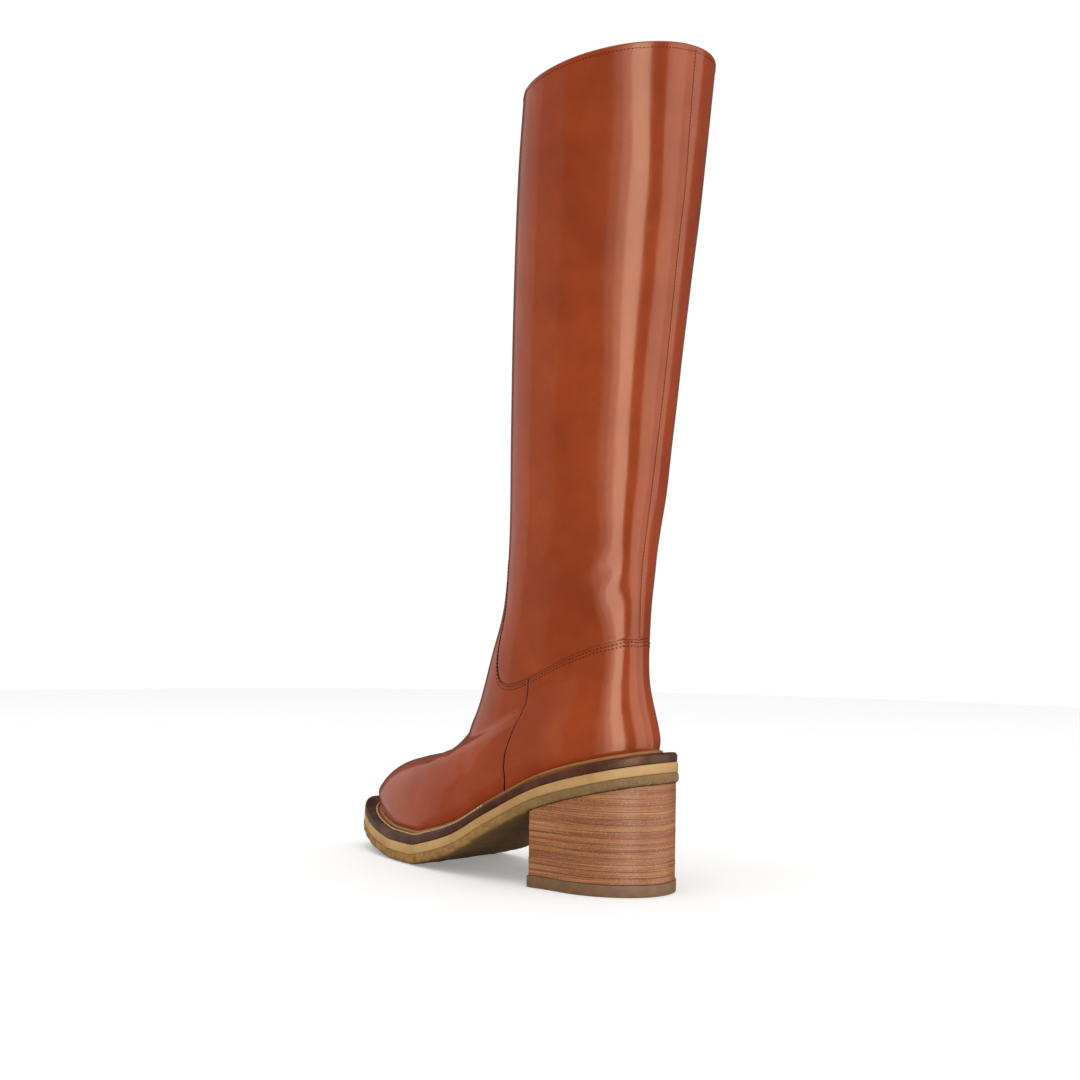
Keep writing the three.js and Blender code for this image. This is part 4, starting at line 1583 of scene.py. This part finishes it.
    def _stitches(self, builder: Builder) -> None:
        """Two rows of stitches below the covers' top edge."""
        form = builder.form
        angles = np.linspace(0, 360, 900)
        crest = form.cover_top(angles)
        top = form.point(crest, angles)
        below = form.point(crest - 0.1, angles)
        scale = np.linalg.norm(top - below, axis=1) / 0.1
        for number, inset in enumerate(self.rows):
            sections = crest - inset / scale
            line = form.offset(sections, angles, 0.0)
            bm = stitch_row(builder, line, form.normal(sections, angles), self.thread)
            builder.piece(bm, f"cover_stitches_{number + 1}", Finish.DARK_THREAD, "leather", (), 80)

    def _rand(self, builder: Builder) -> None:
        """Tan rand rolled between the upper and the welt."""
        form = builder.form
        angles = np.linspace(0, 360, 401)
        section = np.full(401, 0.2)
        base = form.point(section, angles)
        out = form.normal(section, angles)
        out[:, 2] = 0.0
        out = unit(out)
        line = base + out * 1.0
        line[:, 2] = form.plan.welt_top(-line[:, 1]) + 0.75
        line[-1] = line[0]
        lift = np.tile([0.0, 0.0, 1.0], (401, 1))
        bm = tube(builder, line, lift, 1.25, 1.3, 12, True)
        builder.piece(bm, "tan_rand", Finish.RAND, "welt", (), 80)


@dataclass(frozen=True)
class FootBed:
    """Insole inside the boot, in millimetres."""

    thick: float = 2.4
    clearance: float = 4.4
    lift: float = 0.3

    def build(self, builder: Builder) -> None:
        """Makes the insole.

        Args:
            builder: Finishes pieces.
        """
        form = builder.form
        edge = ((0.0, 0.0), (0.4, 0.0), (0.8, 0.0), (1.0, 0.0), (1.0, self.thick - 0.5),
                (0.988, self.thick - 0.1), (0.96, self.thick), (0.8, self.thick), (0.4, self.thick), (0.0, self.thick))
        share_of = np.array([spot[0] for spot in edge])
        height_of = np.array([spot[1] for spot in edge])

        def place(u: np.ndarray, v: np.ndarray) -> np.ndarray:
            """Points of the insole."""
            ring = np.rint(v * (len(edge) - 1)).astype(int)
            angle = 360 * u
            low = form.point(np.zeros(len(u)), angle)
            around = form.point(np.zeros(len(u)), angle + 1) - form.point(np.zeros(len(u)), angle - 1)
            inward = unit(np.stack([around[:, 1], -around[:, 0], np.zeros(len(u))], axis=-1))
            rim = low + inward * self.clearance
            middle = form.plan.centre(-rim[:, 1])
            x = middle + (rim[:, 0] - middle) * share_of[ring]
            z = form.plan.lasting_line(-rim[:, 1]) + self.lift + height_of[ring]
            return np.stack([x, rim[:, 1], z], axis=-1)

        bm = builder.sheet(120, len(edge) - 1, place)
        builder.close(bm)
        builder.piece(bm, "insole_board", Finish.INSOLE, "lining", ("insole",), 60)


# ---- the studio -----------------------------------------------------------------------

@dataclass(frozen=True)
class SoftBox:
    """A soft light, turned round the boot from the camera's side."""

    name: str
    turn: float
    distance: float
    height: float
    size: tuple[float, float]
    radiance: float
    shine: bool = True
    lit: bool = False


@dataclass(frozen=True)
class Studio:
    """Camera, lights and floor, in metres and degrees, with the camera's place in boot millimetres."""

    camera_at: tuple[float, float, float] = (782.3, 656.6, 176.6)
    yaw: float = 132.247
    pan: float = 1.7
    pitch: float = 0.816
    roll: float = 0.863
    lens: float = 62.81
    boxes: tuple[SoftBox, ...] = (
        SoftBox("key_light", 14.5, 1.7, 0.2, (0.68, 3.4), 5.8),
        SoftBox("key_fade_light", -2.0, 1.7, 0.2, (0.31, 3.4), 2.6),
        SoftBox("key_end_light", -12.5, 1.7, 0.2, (0.32, 3.4), 1.0),
        SoftBox("rim_light", 63.0, 1.7, 0.2, (0.86, 3.4), 2.4),
        SoftBox("rim_end_light", 92.0, 1.7, 0.2, (0.86, 3.4), 1.3),
        SoftBox("far_side_light", -128.0, 1.7, 0.5, (1.5, 2.4), 0.45),
        SoftBox("far_fade_light", -86.0, 1.7, 0.5, (0.9, 2.4), 0.25),
        SoftBox("side_light", 70.0, 2.4, 0.7, (1.4, 1.8), 1.0, shine=False, lit=True),
    )
    top_radiance: float = 1.5

    def build(self, form: LeatherForm) -> None:
        """Sets up the studio.

        Args:
            form: Gives the boot's place.
        """
        self._camera(form)
        self._lights(form)
        self._floor()
        self._world()
        bpy.context.scene.view_settings.view_transform = "Standard"

    def _camera(self, form: LeatherForm) -> None:
        """Places the camera."""
        yaw = math.radians(self.yaw + self.pan)
        pitch = math.radians(self.pitch)
        roll = math.radians(self.roll)
        level = math.cos(pitch)
        forward = Vector((-math.sin(yaw) * level, math.cos(yaw) * level, math.sin(pitch)))
        right = forward.cross(Vector((0, 0, 1))).normalized()
        up = right.cross(forward)
        turned_right = right * math.cos(roll) + up * math.sin(roll)
        turned_up = up * math.cos(roll) - right * math.sin(roll)
        data = bpy.data.cameras.new("camera")
        data.lens = self.lens
        data.sensor_width = 36.0
        data.clip_start = 0.01
        camera = bpy.data.objects.new("camera", data)
        turn = Matrix((turned_right, turned_up, -forward)).transposed().to_4x4()
        camera.matrix_world = Matrix.Translation(form.place([self.camera_at])[0]) @ turn
        bpy.context.scene.collection.objects.link(camera)
        bpy.context.scene.camera = camera

    def _lights(self, form: LeatherForm) -> None:
        """Hangs the soft boxes."""
        aim = Vector((0.0, 0.04, 0.2))
        eye = form.place([self.camera_at])[0]
        towards = Vector((eye.x, eye.y, 0.0)).normalized()
        side = Vector((-towards.y, towards.x, 0.0))
        for box in self.boxes:
            turn = math.radians(box.turn)
            place = (towards * math.cos(turn) + side * math.sin(turn)) * box.distance
            place.z = box.height
            light = self._area(box.name, place, Vector((aim.x, aim.y, place.z)), box.size, box.radiance)
            light.visible_glossy = box.shine
            light.visible_diffuse = box.lit
        self._area("top_light", Vector((0.25, 0.1, 1.9)), aim, (1.5, 1.5), self.top_radiance)

    def _area(self, name: str, place: Vector, aim: Vector, size: tuple[float, float],
              radiance: float) -> bpy.types.Object:
        """One soft box of an even brightness."""
        data = bpy.data.lights.new(name, "AREA")
        data.shape = "RECTANGLE"
        data.size = size[0]
        data.size_y = size[1]
        data.energy = radiance * math.pi * size[0] * size[1]
        light = bpy.data.objects.new(name, data)
        turn = (aim - place).to_track_quat("-Z", "Y").to_matrix().to_4x4()
        light.matrix_world = Matrix.Translation(place) @ turn
        bpy.context.scene.collection.objects.link(light)
        return light

    def _floor(self) -> None:
        """Wide pale floor."""
        bm = bmesh.new()
        bmesh.ops.create_circle(bm, cap_ends=True, segments=96, radius=1.6)
        mesh = bpy.data.meshes.new("floor")
        bm.to_mesh(mesh)
        bm.free()
        material, bench, shader, where = start_material("pale_floor")
        soft = bench.noise(where, 3.0, 2.0, 0.5)
        pale = bench.mix(soft, (0.86, 0.86, 0.86, 1.0), (0.9, 0.9, 0.9, 1.0))
        bench.join(pale, shader.inputs["Base Color"])
        seen = bench.add("ShaderNodeLightPath")
        shader.inputs["Emission Color"].default_value = (1.0, 1.0, 1.0, 1.0)
        glow = bench.math("MULTIPLY", seen.outputs["Is Camera Ray"], 0.24)
        bench.join(glow, shader.inputs["Emission Strength"])
        shader.inputs["Roughness"].default_value = 0.9
        shader.inputs["Specular IOR Level"].default_value = 0.1
        mesh.materials.append(material)
        floor = bpy.data.objects.new("floor", mesh)
        floor.visible_glossy = False
        bpy.context.scene.collection.objects.link(floor)

    def _world(self) -> None:
        """Even studio surround: white to look at, dimmer as a light."""
        world = bpy.data.worlds.new("studio")
        bpy.context.scene.world = world
        world.use_nodes = True
        bench = Bench(world.node_tree)
        seen = bench.add("ShaderNodeLightPath")
        looked_at = bench.math("MULTIPLY", seen.outputs["Is Camera Ray"], 0.3)
        mirrored = bench.math("MULTIPLY", seen.outputs["Is Glossy Ray"], -0.64)
        strength = bench.math("ADD", bench.math("ADD", looked_at, mirrored), 0.72)
        background = bench.add("ShaderNodeBackground", {"Color": (1.0, 1.0, 1.0, 1.0)})
        bench.join(strength, background.inputs["Strength"])
        out = bench.add("ShaderNodeOutputWorld")
        bench.join(background.outputs[0], out.inputs[0])


def main() -> None:
    """Builds the boot and the studio."""
    logging.basicConfig(level=logging.INFO, format="%(message)s")
    form = LeatherForm(SolePlan())
    builder = Builder(form, Wardrobe())
    for part in (SoleUnit(), BlockHeel(), FootBed(), Leg(), FootCovers()):
        part.build(builder)
        log.info("built %s", type(part).__name__)
    Studio().build(form)


if __name__ == "__main__":
    main()
